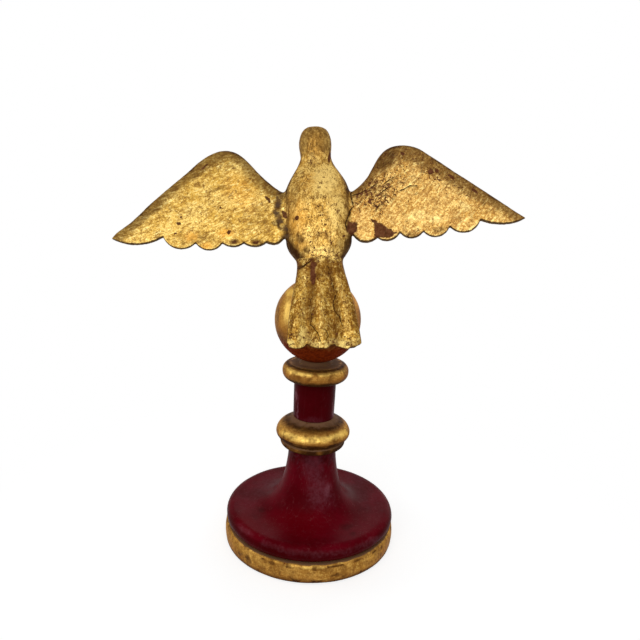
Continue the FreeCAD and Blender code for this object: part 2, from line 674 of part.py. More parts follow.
def make_leg(side):
    """Short leg with three toes forward and one back, seated on the ball."""
    foot = foot_point(side)
    outward = (foot - ball_middle).normalize()
    forward = (V(0, 1, 0) - outward * outward.y).normalize()
    toe_radius = TOE_DIAMETER / 2
    leg = rod(LEG_DIAMETER, ankle_height() - foot.z + toe_radius, foot - V(0, 0, toe_radius))
    for angle, reach in zip(TOE_ANGLES, TOE_REACHES):
        heading = FreeCAD.Rotation(outward, angle).multVec(forward)
        leg = leg.fuse(make_toe(outward, heading, reach))
    ball = Part.makeSphere(ball_radius + BALL_CLEARANCE, ball_middle)
    return leg.cut(ball).cut(leg_pins(PIN_CLEARANCE))


save("base_felt", make_felt())
save("base_disc", make_disc())
save("base_screws", screw_set())
save("flared_foot", make_flared_foot())
save("lower_collar", make_lower_collar())
save("stem", make_stem())
save("upper_collar", make_upper_collar())
save("ball", make_ball())
save("body", perched(make_body()))
save("tail", perched(make_tail()))
save("tail_dowels", perched(tail_dowels()))
save("leg_pins", perched(leg_pins()))
for side, name, leading, trailing in (
        (-1, "left", LEFT_LEADING_SHARES, LEFT_TRAILING_SHARES),
        (1, "right", RIGHT_LEADING_SHARES, RIGHT_TRAILING_SHARES)):
    save(f"{name}_wing", perched(make_wing(side, leading, trailing)))
    save(f"{name}_wing_dowels", perched(wing_dowels(side)))
    save(f"{name}_leg", perched(make_leg(side)))
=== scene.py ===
import math

import bmesh
import bpy
import numpy as np
from mathutils import Matrix, Vector


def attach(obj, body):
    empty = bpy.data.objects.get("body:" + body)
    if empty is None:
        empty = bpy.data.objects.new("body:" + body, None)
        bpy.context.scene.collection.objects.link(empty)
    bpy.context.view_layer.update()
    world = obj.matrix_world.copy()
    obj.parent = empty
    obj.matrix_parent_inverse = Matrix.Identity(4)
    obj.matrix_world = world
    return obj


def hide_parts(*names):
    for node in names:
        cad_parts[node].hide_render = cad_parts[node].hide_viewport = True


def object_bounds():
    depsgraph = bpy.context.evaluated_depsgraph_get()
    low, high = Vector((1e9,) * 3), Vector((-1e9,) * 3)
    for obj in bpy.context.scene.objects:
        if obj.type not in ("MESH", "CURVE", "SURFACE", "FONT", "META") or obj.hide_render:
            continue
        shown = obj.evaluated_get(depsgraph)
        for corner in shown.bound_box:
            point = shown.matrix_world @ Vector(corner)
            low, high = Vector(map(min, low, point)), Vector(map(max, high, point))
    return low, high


# A carved and gilded bird on a turned stand. Metres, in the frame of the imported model.

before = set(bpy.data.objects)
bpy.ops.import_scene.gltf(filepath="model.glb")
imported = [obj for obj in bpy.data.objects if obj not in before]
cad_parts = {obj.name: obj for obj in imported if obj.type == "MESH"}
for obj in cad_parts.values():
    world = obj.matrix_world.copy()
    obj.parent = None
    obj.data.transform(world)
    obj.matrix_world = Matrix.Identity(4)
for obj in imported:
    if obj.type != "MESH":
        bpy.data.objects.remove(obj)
cad_low, cad_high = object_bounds()

MM = 0.001

# The photograph's camera, from a fit to the turned rings
PHOTO_SIZE_PX = 640
FOCAL_PX = 600.0
SENSOR_WIDTH_MM = 36.0
CAMERA_DISTANCE = 493 * MM
CAMERA_HEIGHT = 319.7 * MM
CAMERA_SIDE = 4.5 * MM
CAMERA_PITCH = math.radians(13.61)
CAMERA_YAW = math.radians(0.3)
CAMERA_ROLL = math.radians(2.55)

# How the bird stands over the ball, and where its wings and tail are joined in its own frame
BIRD_PITCH = math.radians(-22.5)
BIRD_LEAN = math.radians(-5.0)
BALL_CENTRE_HEIGHT = 200.761 * MM
LEAN_PIVOT_HEIGHT = 245.461 * MM
WING_ROOT = 26.8 * MM
TAIL_JOINT_HEIGHT = 44.0 * MM
TAIL_ROOT_FRONT = -23.52 * MM

VOXEL = {
    "bird": 0.6 * MM, "left_leg": 0.4 * MM, "right_leg": 0.4 * MM, "base_disc": 0.7 * MM,
    "flared_foot": 0.8 * MM, "lower_collar": 0.6 * MM, "stem": 0.6 * MM, "upper_collar": 0.6 * MM,
    "ball": 0.8 * MM,
}


# Camera

def camera_axes():
    """Right, up and forward directions of the photograph's camera."""
    yaw, pitch, roll = CAMERA_YAW, CAMERA_PITCH, CAMERA_ROLL
    level = Vector((math.cos(yaw), math.sin(yaw), 0))
    forward = Vector((-math.sin(yaw) * math.cos(pitch), math.cos(yaw) * math.cos(pitch), -math.sin(pitch)))
    steep = level.cross(forward)
    right = level * math.cos(roll) + steep * math.sin(roll)
    up = steep * math.cos(roll) - level * math.sin(roll)
    return right, up, forward


CAMERA_PLACE = Vector((CAMERA_SIDE, -CAMERA_DISTANCE, CAMERA_HEIGHT))


def make_camera():
    """The camera of the photograph."""
    right, up, forward = camera_axes()
    data = bpy.data.cameras.new("camera")
    data.sensor_width = SENSOR_WIDTH_MM
    data.lens = SENSOR_WIDTH_MM * FOCAL_PX / PHOTO_SIZE_PX
    data.clip_start = 0.01
    camera = bpy.data.objects.new("camera", data)
    turn = Matrix((right, up, -forward)).transposed().to_4x4()
    camera.matrix_world = Matrix.Translation(CAMERA_PLACE) @ turn
    bpy.context.scene.collection.objects.link(camera)
    bpy.context.scene.camera = camera


def photo_pixels(points):
    """Where points of the object lie in the photograph, as an array of (x, y) pixels."""
    right, up, forward = (np.array(axis) for axis in camera_axes())
    seen = points - np.array(CAMERA_PLACE)
    depth = seen @ forward
    return np.stack((PHOTO_SIZE_PX / 2 + FOCAL_PX * (seen @ right) / depth,
                     PHOTO_SIZE_PX / 2 - FOCAL_PX * (seen @ up) / depth), axis=1)


# The bird's own frame

def bird_turn():
    """Rotation from the bird's own upright frame to where it stands."""
    return Matrix.Rotation(BIRD_LEAN, 3, "Y") @ Matrix.Rotation(BIRD_PITCH, 3, "X")


BIRD_UP = np.array(bird_turn() @ Vector((0, 0, 1)))
BIRD_BACK = np.array(bird_turn() @ Vector((0, -1, 0)))
BIRD_SIDE = np.array(bird_turn() @ Vector((1, 0, 0)))


def bird_places(points):
    """Points in the bird's own frame: the middle of the ball is its zero and z runs up its back."""
    lean = np.array(Matrix.Rotation(BIRD_LEAN, 3, "Y"))
    pitch = np.array(Matrix.Rotation(BIRD_PITCH, 3, "X"))
    pivot = np.array((0, 0, LEAN_PIVOT_HEIGHT))
    upright = (points - pivot) @ lean + pivot
    return (upright - np.array((0, 0, BALL_CENTRE_HEIGHT))) @ pitch


# Noise and marks for the carved meshes

LATTICE = 64


def noise(points, wavelength, seed):
    """Smooth noise from -1 to 1 at points, with the given wavelength in metres."""
    grid = np.random.default_rng(seed).uniform(-1, 1, (LATTICE,) * 3)
    place = points / wavelength
    cell = np.floor(place).astype(int)
    part = place - cell
    part = part * part * (3 - 2 * part)
    total = np.zeros(len(points))
    for corner in np.ndindex(2, 2, 2):
        share = np.prod(np.where(corner, part, 1 - part), axis=1)
        x, y, z = ((cell + corner) % LATTICE).T
        total += share * grid[x, y, z]
    return total


def rough_noise(points, wavelength, seed, octaves=3):
    """Noise with finer and fainter layers added."""
    total = np.zeros(len(points))
    for layer in range(octaves):
        total += noise(points, wavelength / 2 ** layer, seed + layer) / 2 ** layer
    return total


def step(values, low, high):
    """Smooth rise from 0 to 1 between low and high."""
    part = np.clip((values - low) / (high - low), 0, 1)
    return part * part * (3 - 2 * part)


def fade(values, low, high):
    """Smooth fall from 1 to 0 between low and high."""
    return 1 - step(values, low, high)


def line_distance(places, marks):
    """Distance in pixels from each place to a line through the marks."""
    nearest = np.full(len(places), np.inf)
    for start, end in zip(marks, marks[1:]):
        start, run = np.array(start, float), np.array(end, float) - np.array(start, float)
        along = np.clip(((places - start) @ run) / (run @ run), 0, 1)
        gap = np.linalg.norm(places - start - along[:, None] * run, axis=1)
        nearest = np.minimum(nearest, gap)
    return nearest


def patch_depth(places, corners):
    """How far each place is inside an outline, in pixels, and less than 0 outside."""
    inside = np.zeros(len(places), bool)
    x, y = places.T
    for (x0, y0), (x1, y1) in zip(corners, corners[1:] + corners[:1]):
        if y0 != y1:
            inside ^= ((y0 > y) != (y1 > y)) & (x < x0 + (x1 - x0) * (y - y0) / (y1 - y0))
    gap = line_distance(places, corners + corners[:1])
    return np.where(inside, gap, -gap)


def spot(places, centre, across, down, turn=0):
    """Soft oval: 1 in its middle and 0 from its edge on. The turn is in degrees, clockwise."""
    turn = math.radians(turn)
    x, y = (places - np.array(centre)).T
    along = x * math.cos(turn) + y * math.sin(turn)
    beside = y * math.cos(turn) - x * math.sin(turn)
    return fade(np.hypot(along / across, beside / down), 0.25, 1.0)


def outline(places, lower=False, width=4.0):
    """The highest or lowest places of a piece, column by column, as a line of marks."""
    column = np.floor(places[:, 0] / width).astype(int)
    marks = []
    for number in range(column.min() + 1, column.max()):
        heights = places[column == number, 1]
        if len(heights):
            marks.append(((number + 0.5) * width, heights.max() if lower else heights.min()))
    return marks


def close_cuts(mesh):
    """Fill the openings that a cut leaves in a mesh, each with a fan of flat faces round a new point."""
    shape = bmesh.new()
    shape.from_mesh(mesh)
    border = [edge for edge in shape.edges if edge.is_boundary]
    caps = bmesh.ops.holes_fill(shape, edges=border, sides=0)["faces"]
    for face in bmesh.ops.poke(shape, faces=caps)["faces"]:
        face.smooth = False
    shape.to_mesh(mesh)
    shape.free()


class Carving:
    """CAD nodes copied into one fine mesh that can be carved, painted and cut into pieces."""

    def __init__(self, name, nodes):
        shell = bmesh.new()
        for node in nodes:
            shell.from_mesh(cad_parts[node].data)
        bmesh.ops.remove_doubles(shell, verts=shell.verts, dist=1e-6)
        joined = bpy.data.meshes.new("joined")
        shell.to_mesh(joined)
        shell.free()
        rough = bpy.data.objects.new("rough", joined)
        bpy.context.scene.collection.objects.link(rough)
        remesh = rough.modifiers.new("remesh", "REMESH")
        remesh.mode = "VOXEL"
        remesh.voxel_size = VOXEL[name]
        soften = rough.modifiers.new("soften", "SMOOTH")
        soften.factor = 0.5
        soften.iterations = 3
        seen = rough.evaluated_get(bpy.context.evaluated_depsgraph_get())
        self.mesh = bpy.data.meshes.new_from_object(seen)
        bpy.data.objects.remove(rough)
        self.edges = self.gather(self.mesh.edges, "vertices", 2, np.int32)
        self.corners = self.gather(self.mesh.loops, "vertex_index", 4, np.int32)
        self.paint = {}
        where = self.gather(self.mesh.vertices, "co", 3).astype(float)
        self.jitter = np.stack([0.9 * noise(where, 3.4 * MM, seed) + 0.45 * noise(where, 1.5 * MM, seed + 1)
                                for seed in (61, 63)], axis=1)
        self.read()

    @staticmethod
    def gather(items, key, width, kind=np.float32):
        """One property of many mesh items as an array with so many columns."""
        each = 1 if key == "vertex_index" else width
        values = np.empty(len(items) * each, kind)
        items.foreach_get(key, values)
        return values.reshape(-1, width)

    def read(self):
        """Points, normals and photograph pixels, plain and ragged, of the mesh as it stands."""
        self.points = self.gather(self.mesh.vertices, "co", 3).astype(float)
        self.normals = self.gather(self.mesh.vertex_normals, "vector", 3).astype(float)
        self.pixels = photo_pixels(self.points)
        self.ragged = self.pixels + self.jitter
        towards = np.array(CAMERA_PLACE) - self.points
        towards /= np.linalg.norm(towards, axis=1)[:, None]
        self.facing = step(np.sum(towards * self.normals, axis=1), -0.1, 0.2)

    def move(self, offsets):
        """Move each point along its normal by an offset in metres, or by a vector."""
        offsets = np.asarray(offsets)
        if offsets.ndim == 1:
            offsets = offsets[:, None] * self.normals
        self.points = np.clip(self.points + offsets, cad_low, cad_high)
        self.mesh.vertices.foreach_set("co", self.points.astype(np.float32).ravel())
        self.mesh.update()
        self.read()

    def blurred(self, values, rounds, share=1.0):
        """Values of the points, each mixed with its neighbours' over and over."""
        first, second = self.edges.T
        count = len(self.points)
        shared = np.bincount(first, minlength=count) + np.bincount(second, minlength=count) + 1.0
        for _ in range(rounds):
            total = values + np.bincount(first, values[second], count)
            total += np.bincount(second, values[first], count)
            values = values + share * (total / shared - values)
        return values

    def soften(self, where, rounds):
        """Smooth the surface where the mask says so."""
        smooth = np.stack([self.blurred(axis, rounds, where) for axis in self.points.T], axis=1)
        self.move(smooth - self.points)

    def hollow(self, rounds):
        """How far each point lies below the blurred surface, in metres: over 0 in hollows."""
        smooth = np.stack([self.blurred(axis, rounds) for axis in self.points.T], axis=1)
        return np.sum((smooth - self.points) * self.normals, axis=1)

    def brush(self, name, values):
        """Paint a mask on the mesh, over what is there."""
        values = np.clip(values, 0, 1)
        self.paint[name] = np.maximum(self.paint.get(name, 0), values)

    def dab(self, on, rows):
        """Paint rows of soft ovals: a mask, a share, then each oval's centre, half sizes and turn."""
        for name, share, *spots in rows:
            for centre, across, down, turn in spots:
                oval = spot(self.ragged, centre, across, down, turn)
                self.brush(name, oval * share * on * self.facing)

    def stroke(self, name, on, marks, reach, share=1.0):
        """Paint a soft line through the marks, given in photograph pixels, that fades out at its reach."""
        gap = line_distance(self.ragged, marks)
        self.brush(name, fade(gap, 0.2 * reach, reach) * share * on * self.facing)

    def crack(self, on, marks, width, depth=0.25 * MM):
        """Cut a thin dark line through the marks, given in photograph pixels."""
        gap = line_distance(self.ragged, marks)
        width = width * (1 + 0.5 * noise(self.points, 5 * MM, 72))
        self.brush("crack", (1 - gap / (width * 4)) * on * (self.facing > 0))
        self.move(-depth * fade(gap, 0, 1.6) * self.facing * on)

    def patch(self, name, on, corners, softness, share=1.0):
        """Paint a ragged patch with the corners given in photograph pixels."""
        depth = patch_depth(self.ragged, corners)
        self.brush(name, (0.5 + depth / softness) * share * on * (self.facing > 0))

    def finish(self, node, material, slot, faces=None):
        """Put the carved piece, or those of its faces that belong to a node, in the CAD node's place."""
        kept = self.corners if faces is None else self.corners[faces]
        used, corners = np.unique(kept, return_inverse=True)
        mesh = bpy.data.meshes.new(f"{node}_carved")
        mesh.from_pydata(self.points[used], [], corners.reshape(-1, 4))
        mesh.polygons.foreach_set("use_smooth", np.ones(len(mesh.polygons), bool))
        if faces is not None:
            close_cuts(mesh)
        normals = np.zeros((len(mesh.loops), 3))
        normals[:corners.size] = self.normals[used][corners.ravel()]
        mesh.normals_split_custom_set(normals)
        for name in MASKS:
            values = np.zeros(len(mesh.vertices), np.float32)
            if name in self.paint:
                values[:len(used)] = self.paint[name][used]
            mesh.attributes.new(name, "FLOAT", "POINT").data.foreach_set("value", values)
        mesh.materials.append(material)
        piece = bpy.data.objects.new(f"{node}_carved", mesh)
        bpy.context.scene.collection.objects.link(piece)
        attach(piece, "root")
        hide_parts(node)


# Masks painted on the meshes. The first holds soiling and painted shade, the second dusty films and painted
# sheen; pale holds painted highlights and worn edges, and warm also a painted reflection on the turned
# pieces
MASKS = ("grime_and_shade", "dust", "bole", "pale", "warm", "crack", "crackle")


# Materials

class Nodes:
    """Short calls that build one material's node tree."""

    def __init__(self, name):
        self.material = bpy.data.materials.new(name)
        self.material.use_nodes = True
        self.tree = self.material.node_tree
        self.tree.nodes.clear()
        self.output = self.tree.nodes.new("ShaderNodeOutputMaterial")

    def put(self, socket, value):
        """Link a socket to another, or set its value."""
        if isinstance(value, bpy.types.NodeSocket):
            self.tree.links.new(value, socket)
        elif value is not None:
            socket.default_value = value

    def add(self, kind, inputs=None, **settings):
        """One node with its settings and inputs."""
        node = self.tree.nodes.new(kind)
        for key, value in settings.items():
            setattr(node, key, value)
        for key, value in (inputs or {}).items():
            self.put(node.inputs[key], value)
        return node

    def place(self, stretch=(1, 1, 1), turn=(0, 0, 0)):
        """Object coordinates in millimetres, turned and then stretched."""
        where = self.add("ShaderNodeTexCoord").outputs["Object"]
        turned = self.add("ShaderNodeMapping", {"Vector": where, "Rotation": turn}).outputs[0]
        scale = [s / MM for s in stretch]
        return self.add("ShaderNodeMapping", {"Vector": turned, "Scale": scale}).outputs[0]

    def noise(self, where, wavelength, detail=3.0, roughness=0.55, distortion=0.0, output=0):
        """Noise texture with the given wavelength in millimetres."""
        return self.add("ShaderNodeTexNoise", {
            "Vector": where, "Scale": 1 / wavelength, "Detail": detail, "Roughness": roughness,
            "Distortion": distortion}).outputs[output]

    def ramp(self, value, low, high, start=0.0, end=1.0):
        """Smooth rise from start to end as the value goes from low to high."""
        return self.add("ShaderNodeMapRange", {
            "Value": value, "From Min": low, "From Max": high, "To Min": start, "To Max": end},
            interpolation_type="SMOOTHSTEP").outputs[0]

    def sum(self, kind, a, b=None):
        """Arithmetic on values."""
        node = self.add("ShaderNodeMath", operation=kind)
        self.put(node.inputs[0], a)
        if b is not None:
            self.put(node.inputs[1], b)
        return node.outputs[0]

    def blend(self, share, a, b):
        """Mix two colours by a share."""
        node = self.add("ShaderNodeMix", data_type="RGBA")
        self.put(node.inputs[0], share)
        self.put(node.inputs[6], a)
        self.put(node.inputs[7], b)
        return node.outputs[2]

    def mask(self, name):
        """A mask painted on the mesh."""
        return self.add("ShaderNodeAttribute", attribute_name=name).outputs["Fac"]

    def shader(self, **inputs):
        """The surface shader, linked to the output."""
        shader = self.add("ShaderNodeBsdfPrincipled")
        for key, value in inputs.items():
            self.put(shader.inputs[key.replace("_", " ")], value)
        self.put(self.output.inputs["Surface"], shader.outputs[0])
        return self.material


def rgb(red, green, blue):
    """A colour as the eye sees it, 0 to 255, turned into light."""
    def light(value):
        value /= 255
        return value / 12.92 if value <= 0.04045 else ((value + 0.055) / 1.055) ** 2.4
    return (light(red), light(green), light(blue), 1.0)


GOLD = rgb(230, 192, 106)
GOLD_BRIGHT = rgb(252, 230, 150)
GOLD_DEEP = rgb(200, 152, 66)
GOLD_OLIVE = rgb(150, 110, 46)
ORANGE = rgb(226, 160, 62)
# Dark browns of patina, scratches and specks, which also colour the painted shade
PATINA_AND_SHADE = rgb(120, 84, 38)
PATINA_AND_SHADE_DARK = rgb(54, 24, 8)
DUST = rgb(98, 76, 56)
BOLE = rgb(118, 68, 46)
BOLE_DARK = rgb(78, 36, 22)
BOLE_LINE = rgb(104, 56, 30)
CRACK = rgb(52, 28, 14)
EDGE_TINT = rgb(190, 150, 90)


def gilding(name, lean=0.0, bright=GOLD, deep=GOLD_DEEP, dull=GOLD_OLIVE, warm=ORANGE, glint=GOLD_BRIGHT,
            clay=(BOLE, BOLE_DARK), dark_tones=(PATINA_AND_SHADE, PATINA_AND_SHADE_DARK), powder=DUST, grain=1.0, streak=1.0):
    """Aged leaf over red-brown clay: mottled, brushed along a lean in degrees, scratched and specked, with
    a warm tone, painted highlights and painted shade from its masks.
    """
    n = Nodes(name)
    where = n.place()
    along = n.place((0.08, 1, 1), (0, math.radians(lean), 0))
    aslant = n.place((0.09, 1, 1), (0, math.radians(lean + 24), 0))
    broad = n.noise(where, 17, 3)
    patches = n.noise(where, 6, 4, 0.6, 0.5)
    mottle = n.noise(where, 2.8, 3, 0.7)
    fine = n.noise(where, 1.3, 2, 0.6)
    streaks = n.noise(along, 2.1, 3, 0.65, 0.5)
    specks = n.noise(where, 2.0, 2, 0.5)

    def ragged(mask, texture, reach):
        """A mask whose edge is broken up by a texture."""
        return n.sum("ADD", n.mask(mask), n.sum("MULTIPLY", n.sum("SUBTRACT", texture, 0.5), reach))

    def scratches(places, wavelength, width):
        """Thin long lines where a stretched noise crosses its middle."""
        off = n.sum("ABSOLUTE", n.sum("SUBTRACT", n.noise(places, wavelength, 2, 0.6, 0.2), 0.5))
        return n.sum("MULTIPLY", n.ramp(off, width, 0), n.ramp(patches, 0.42, 0.58))

    colour = n.blend(n.ramp(broad, 0.38, 0.66), deep, bright)
    colour = n.blend(n.ramp(patches, 0.50, 0.74, 0, 0.6), colour, dull)
    colour = n.blend(n.ramp(mottle, 0.53, 0.72, 0, 0.75 * grain), colour, dull)
    colour = n.blend(n.ramp(mottle, 0.46, 0.28, 0, 0.55 * grain), colour, glint)
    colour = n.blend(n.ramp(fine, 0.51, 0.62, 0, 0.95 * grain), colour, dull)
    colour = n.blend(n.ramp(fine, 0.47, 0.36, 0, 0.5 * grain), colour, glint)
    colour = n.blend(n.ramp(streaks, 0.52, 0.68, 0, 0.85 * streak), colour, dull)
    colour = n.blend(n.ramp(streaks, 0.45, 0.30, 0, 0.60 * streak), colour, glint)
    # A warm tone, which on the turned pieces is a painted reflection under their edges
    colour = n.blend(n.sum("MULTIPLY", n.mask("warm"), 0.75), colour, warm)
    # Painted highlights, and edges worn pale, in the glint colour
    colour = n.blend(n.ramp(ragged("pale", mottle, -grain), 0.15, 0.95, 0, 0.8), colour, glint)
    hairs = n.sum("MAXIMUM", scratches(along, 3.6, 0.030), scratches(aslant, 4.4, 0.024))
    colour = n.blend(n.sum("MULTIPLY", hairs, 0.75 * streak), colour, dark_tones[0])
    colour = n.blend(n.ramp(specks, 0.68, 0.73, 0, 0.68 * grain), colour, dark_tones[1])
    uneven = n.sum("ADD", streaks, n.sum("SUBTRACT", mottle, 0.5))
    # Soiling and painted shade alike: this mask blends in the pair of dark colours, the darker one where it
    # is strongest
    grime_and_shade = n.ramp(ragged("grime_and_shade", uneven, 0.2 + 0.4 * grain), 0.03, 0.95)
    shade_and_dirt = n.blend(n.ramp(ragged("grime_and_shade", patches, 0.7), 0.58, 0.95), *dark_tones)
    colour = n.blend(n.sum("MULTIPLY", grime_and_shade, 0.97), colour, shade_and_dirt)
    # A dusty film in the powder colour; on the red pieces the same mask also holds painted sheen
    dust = n.ramp(ragged("dust", uneven, 0.7), 0.20, 0.85)
    colour = n.blend(n.sum("MULTIPLY", dust, 0.92), colour, powder)
    shift = where
    for wavelength in (3.0, 9.0):
        wander = n.noise(where, wavelength, 2, output="Color")
        shift = n.add("ShaderNodeVectorMath", {0: shift, 1: wander}, operation="ADD").outputs[0]
    cells = n.add("ShaderNodeTexVoronoi", {"Vector": shift, "Scale": 1 / 5.5},
                  feature="DISTANCE_TO_EDGE").outputs["Distance"]
    crazed = n.ramp(ragged("crackle", patches, 1.6), 0.35, 0.75)
    crazed = n.sum("MULTIPLY", crazed, n.ramp(mottle, 0.42, 0.56))
    lines = n.sum("MULTIPLY", n.ramp(cells, 0.075, 0.02), crazed)
    flaking = n.sum("ADD", n.sum("MULTIPLY", n.mask("crackle"), 0.22), n.noise(where, 2.4, 3, 0.6, 0.8))
    flakes = n.ramp(flaking, 0.70, 0.75)
    bared = n.ramp(ragged("bole", mottle, 0.7), 0.16 + 0.24 * grain, 0.84 - 0.24 * grain)
    bole = n.sum("MAXIMUM", bared, flakes)
    colour = n.blend(n.sum("MULTIPLY", bole, 0.92), colour, n.blend(n.ramp(mottle, 0.35, 0.7), *clay))
    colour = n.blend(n.sum("MULTIPLY", lines, 0.70), colour, BOLE_LINE)
    cut = n.ramp(n.mask("crack"), 0.62, 0.88)
    colour = n.blend(n.sum("MULTIPLY", cut, 0.92), colour, CRACK)
    matt = n.sum("MAXIMUM", n.sum("MAXIMUM", bole, cut), n.sum("MAXIMUM", dust, lines))
    matt = n.sum("MAXIMUM", matt, n.sum("MULTIPLY", grime_and_shade, 0.75))
    metal = n.ramp(matt, 0.0, 1.0, 0.66, 0.0)
    rough = n.sum("ADD", n.ramp(mottle, 0.3, 0.75, 0.32, 0.48), n.sum("MULTIPLY", matt, 0.34))
    shine = n.ramp(matt, 0.0, 1.0, 0.22, 0.05)
    height = n.sum("ADD", n.sum("MULTIPLY", mottle, 0.7), n.sum("MULTIPLY", streaks, 0.5))
    height = n.sum("SUBTRACT", height, n.sum("MULTIPLY", n.sum("MAXIMUM", bole, lines), 0.5))
    bump = n.add("ShaderNodeBump", {"Strength": 0.8, "Distance": 0.30 * MM, "Height": height})
    return n.shader(Base_Color=colour, Metallic=metal, Roughness=rough, Normal=bump.outputs[0],
                    Specular_Tint=EDGE_TINT, Specular_IOR_Level=shine)


def lacquer():
    """Deep burgundy paint under worn satin varnish, with dusty scuffs, painted highlights, painted sheen
    and painted shade.
    """
    n = Nodes("red_lacquer")
    where = n.place()
    broad = n.noise(where, 34, 3, 0.55)
    cloud = n.noise(where, 9, 4, 0.6)
    rubs = n.noise(where, 2.6, 4, 0.65)
    grit = n.noise(where, 1.6, 2, 0.5)
    hair = n.sum("ABSOLUTE", n.sum("SUBTRACT", n.noise(n.place((1, 1, 0.12)), 8, 2, 0.6, 0.3), 0.5))
    scuff = n.sum("MULTIPLY", n.sum("SUBTRACT", rubs, 0.5), 0.8)
    colour = n.blend(n.ramp(broad, 0.36, 0.64), rgb(83, 1, 10), rgb(103, 3, 20))
    colour = n.blend(n.ramp(cloud, 0.45, 0.75, 0, 0.25), colour, rgb(66, 2, 8))
    colour = n.blend(n.sum("MULTIPLY", n.mask("warm"), 0.8), colour, rgb(106, 0, 12))
    colour = n.blend(n.ramp(rubs, 0.62, 0.82, 0, 0.25), colour, rgb(116, 24, 34))
    colour = n.blend(n.ramp(grit, 0.68, 0.75, 0, 0.35), colour, rgb(120, 56, 60))
    colour = n.blend(n.ramp(hair, 0.010, 0.0, 0, 0.35), colour, rgb(124, 60, 62))
    # Soiling, and painted shade under the foot's rim
    colour = n.blend(n.sum("MULTIPLY", n.mask("grime_and_shade"), 0.85), colour, rgb(56, 0, 1))
    # Painted highlights, on the foot's rim and neck, broken by scuffs
    pale = n.ramp(n.sum("ADD", n.mask("pale"), n.sum("MULTIPLY", scuff, 0.6)), 0.05, 1.1)
    colour = n.blend(n.sum("MULTIPLY", pale, 0.75), colour, rgb(172, 112, 126))
    # Dusty films, and painted sheen on the foot's slopes, broken by scuffs
    dust = n.ramp(n.sum("ADD", n.mask("dust"), scuff), 0.05, 1.1)
    colour = n.blend(n.sum("MULTIPLY", dust, 0.75), colour, rgb(120, 62, 74))
    rough = n.sum("ADD", n.ramp(cloud, 0.3, 0.75, 0.30, 0.40), n.sum("MULTIPLY", dust, 0.2))
    height = n.sum("ADD", n.sum("MULTIPLY", cloud, 0.7), n.sum("MULTIPLY", rubs, 0.3))
    bump = n.add("ShaderNodeBump", {"Strength": 0.25, "Distance": 0.3 * MM, "Height": height})
    return n.shader(Base_Color=colour, Roughness=rough, Normal=bump.outputs[0], Specular_IOR_Level=0.015)


def plain_grain(name, pale, dark, rough_low, rough_high, metallic=0.0):
    """Wood, felt or metal of the hidden pieces: two tones in a fine grain."""
    n = Nodes(name)
    grain = n.noise(n.place((1, 1, 0.2)), 1.2, 5, 0.65)
    tone = n.noise(n.place(), 6, 3)
    colour = n.blend(n.ramp(grain, 0.3, 0.7), dark, pale)
    colour = n.blend(n.ramp(tone, 0.4, 0.8, 0, 0.4), colour, dark)
    bump = n.add("ShaderNodeBump", {"Strength": 0.5, "Distance": 0.15 * MM, "Height": grain})
    rough = n.ramp(tone, 0.3, 0.7, rough_low, rough_high)
    return n.shader(Base_Color=colour, Metallic=metallic, Roughness=rough, Normal=bump.outputs[0])


# Stage, world and lamps

FLOOR_SIZE = 6.0
FLOOR_DROP = 0.2 * MM
FLOOR_FADE = (0.12, 0.34)
FLOOR_GLOW = 0.72
WORLD_LIGHT = 0.38
AIM = (0, 0, 0.22)


def stage_material():
    """White floor that keeps the object's shadow."""
    n = Nodes("stage_floor")
    where = n.add("ShaderNodeNewGeometry").outputs["Position"]
    far = n.add("ShaderNodeVectorMath", {0: where}, operation="LENGTH").outputs["Value"]
    outer = n.ramp(far, *FLOOR_FADE)
    path = n.add("ShaderNodeLightPath").outputs
    seen = n.sum("MAXIMUM", path["Is Camera Ray"], n.sum("MAXIMUM", path["Is Glossy Ray"],
                                                        path["Is Transmission Ray"]))
    cloth = n.add("ShaderNodeBsdfDiffuse", {"Color": (0.8, 0.8, 0.8, 1)}).outputs[0]
    lit = n.add("ShaderNodeBsdfDiffuse", {"Color": (0.5, 0.5, 0.5, 1)}).outputs[0]
    glow = n.add("ShaderNodeEmission", {"Strength": FLOOR_GLOW}).outputs[0]
    inner = n.add("ShaderNodeAddShader", {0: lit, 1: glow}).outputs[0]
    white = n.add("ShaderNodeEmission", {"Strength": 1.0}).outputs[0]
    shown = n.add("ShaderNodeMixShader", {0: outer, 1: inner, 2: white}).outputs[0]
    surface = n.add("ShaderNodeMixShader", {0: seen, 1: cloth, 2: shown}).outputs[0]
    n.put(n.output.inputs["Surface"], surface)
    return n.material


def make_stage():
    """Plain pale floor."""
    bpy.ops.mesh.primitive_plane_add(size=FLOOR_SIZE, location=(0, 0, -FLOOR_DROP))
    floor = bpy.context.object
    floor.name = "floor"
    floor.data.materials.append(stage_material())


def make_world():
    """White surroundings, dimmer as a source of light."""
    world = bpy.data.worlds.new("studio")
    bpy.context.scene.world = world
    world.use_nodes = True
    tree = world.node_tree
    tree.nodes.clear()
    links = tree.links
    path = tree.nodes.new("ShaderNodeLightPath").outputs
    seen = tree.nodes.new("ShaderNodeMath")
    seen.operation = "MAXIMUM"
    links.new(path["Is Camera Ray"], seen.inputs[0])
    links.new(path["Is Glossy Ray"], seen.inputs[1])
    every = tree.nodes.new("ShaderNodeMath")
    every.operation = "MAXIMUM"
    links.new(seen.outputs[0], every.inputs[0])
    links.new(path["Is Transmission Ray"], every.inputs[1])
    strength = tree.nodes.new("ShaderNodeMix")
    strength.inputs[2].default_value = WORLD_LIGHT
    strength.inputs[3].default_value = 1.0
    links.new(every.outputs[0], strength.inputs[0])
    light = tree.nodes.new("ShaderNodeBackground")
    light.inputs["Color"].default_value = (1, 1, 1, 1)
    links.new(strength.outputs[0], light.inputs["Strength"])
    output = tree.nodes.new("ShaderNodeOutputWorld")
    links.new(light.outputs[0], output.inputs["Surface"])


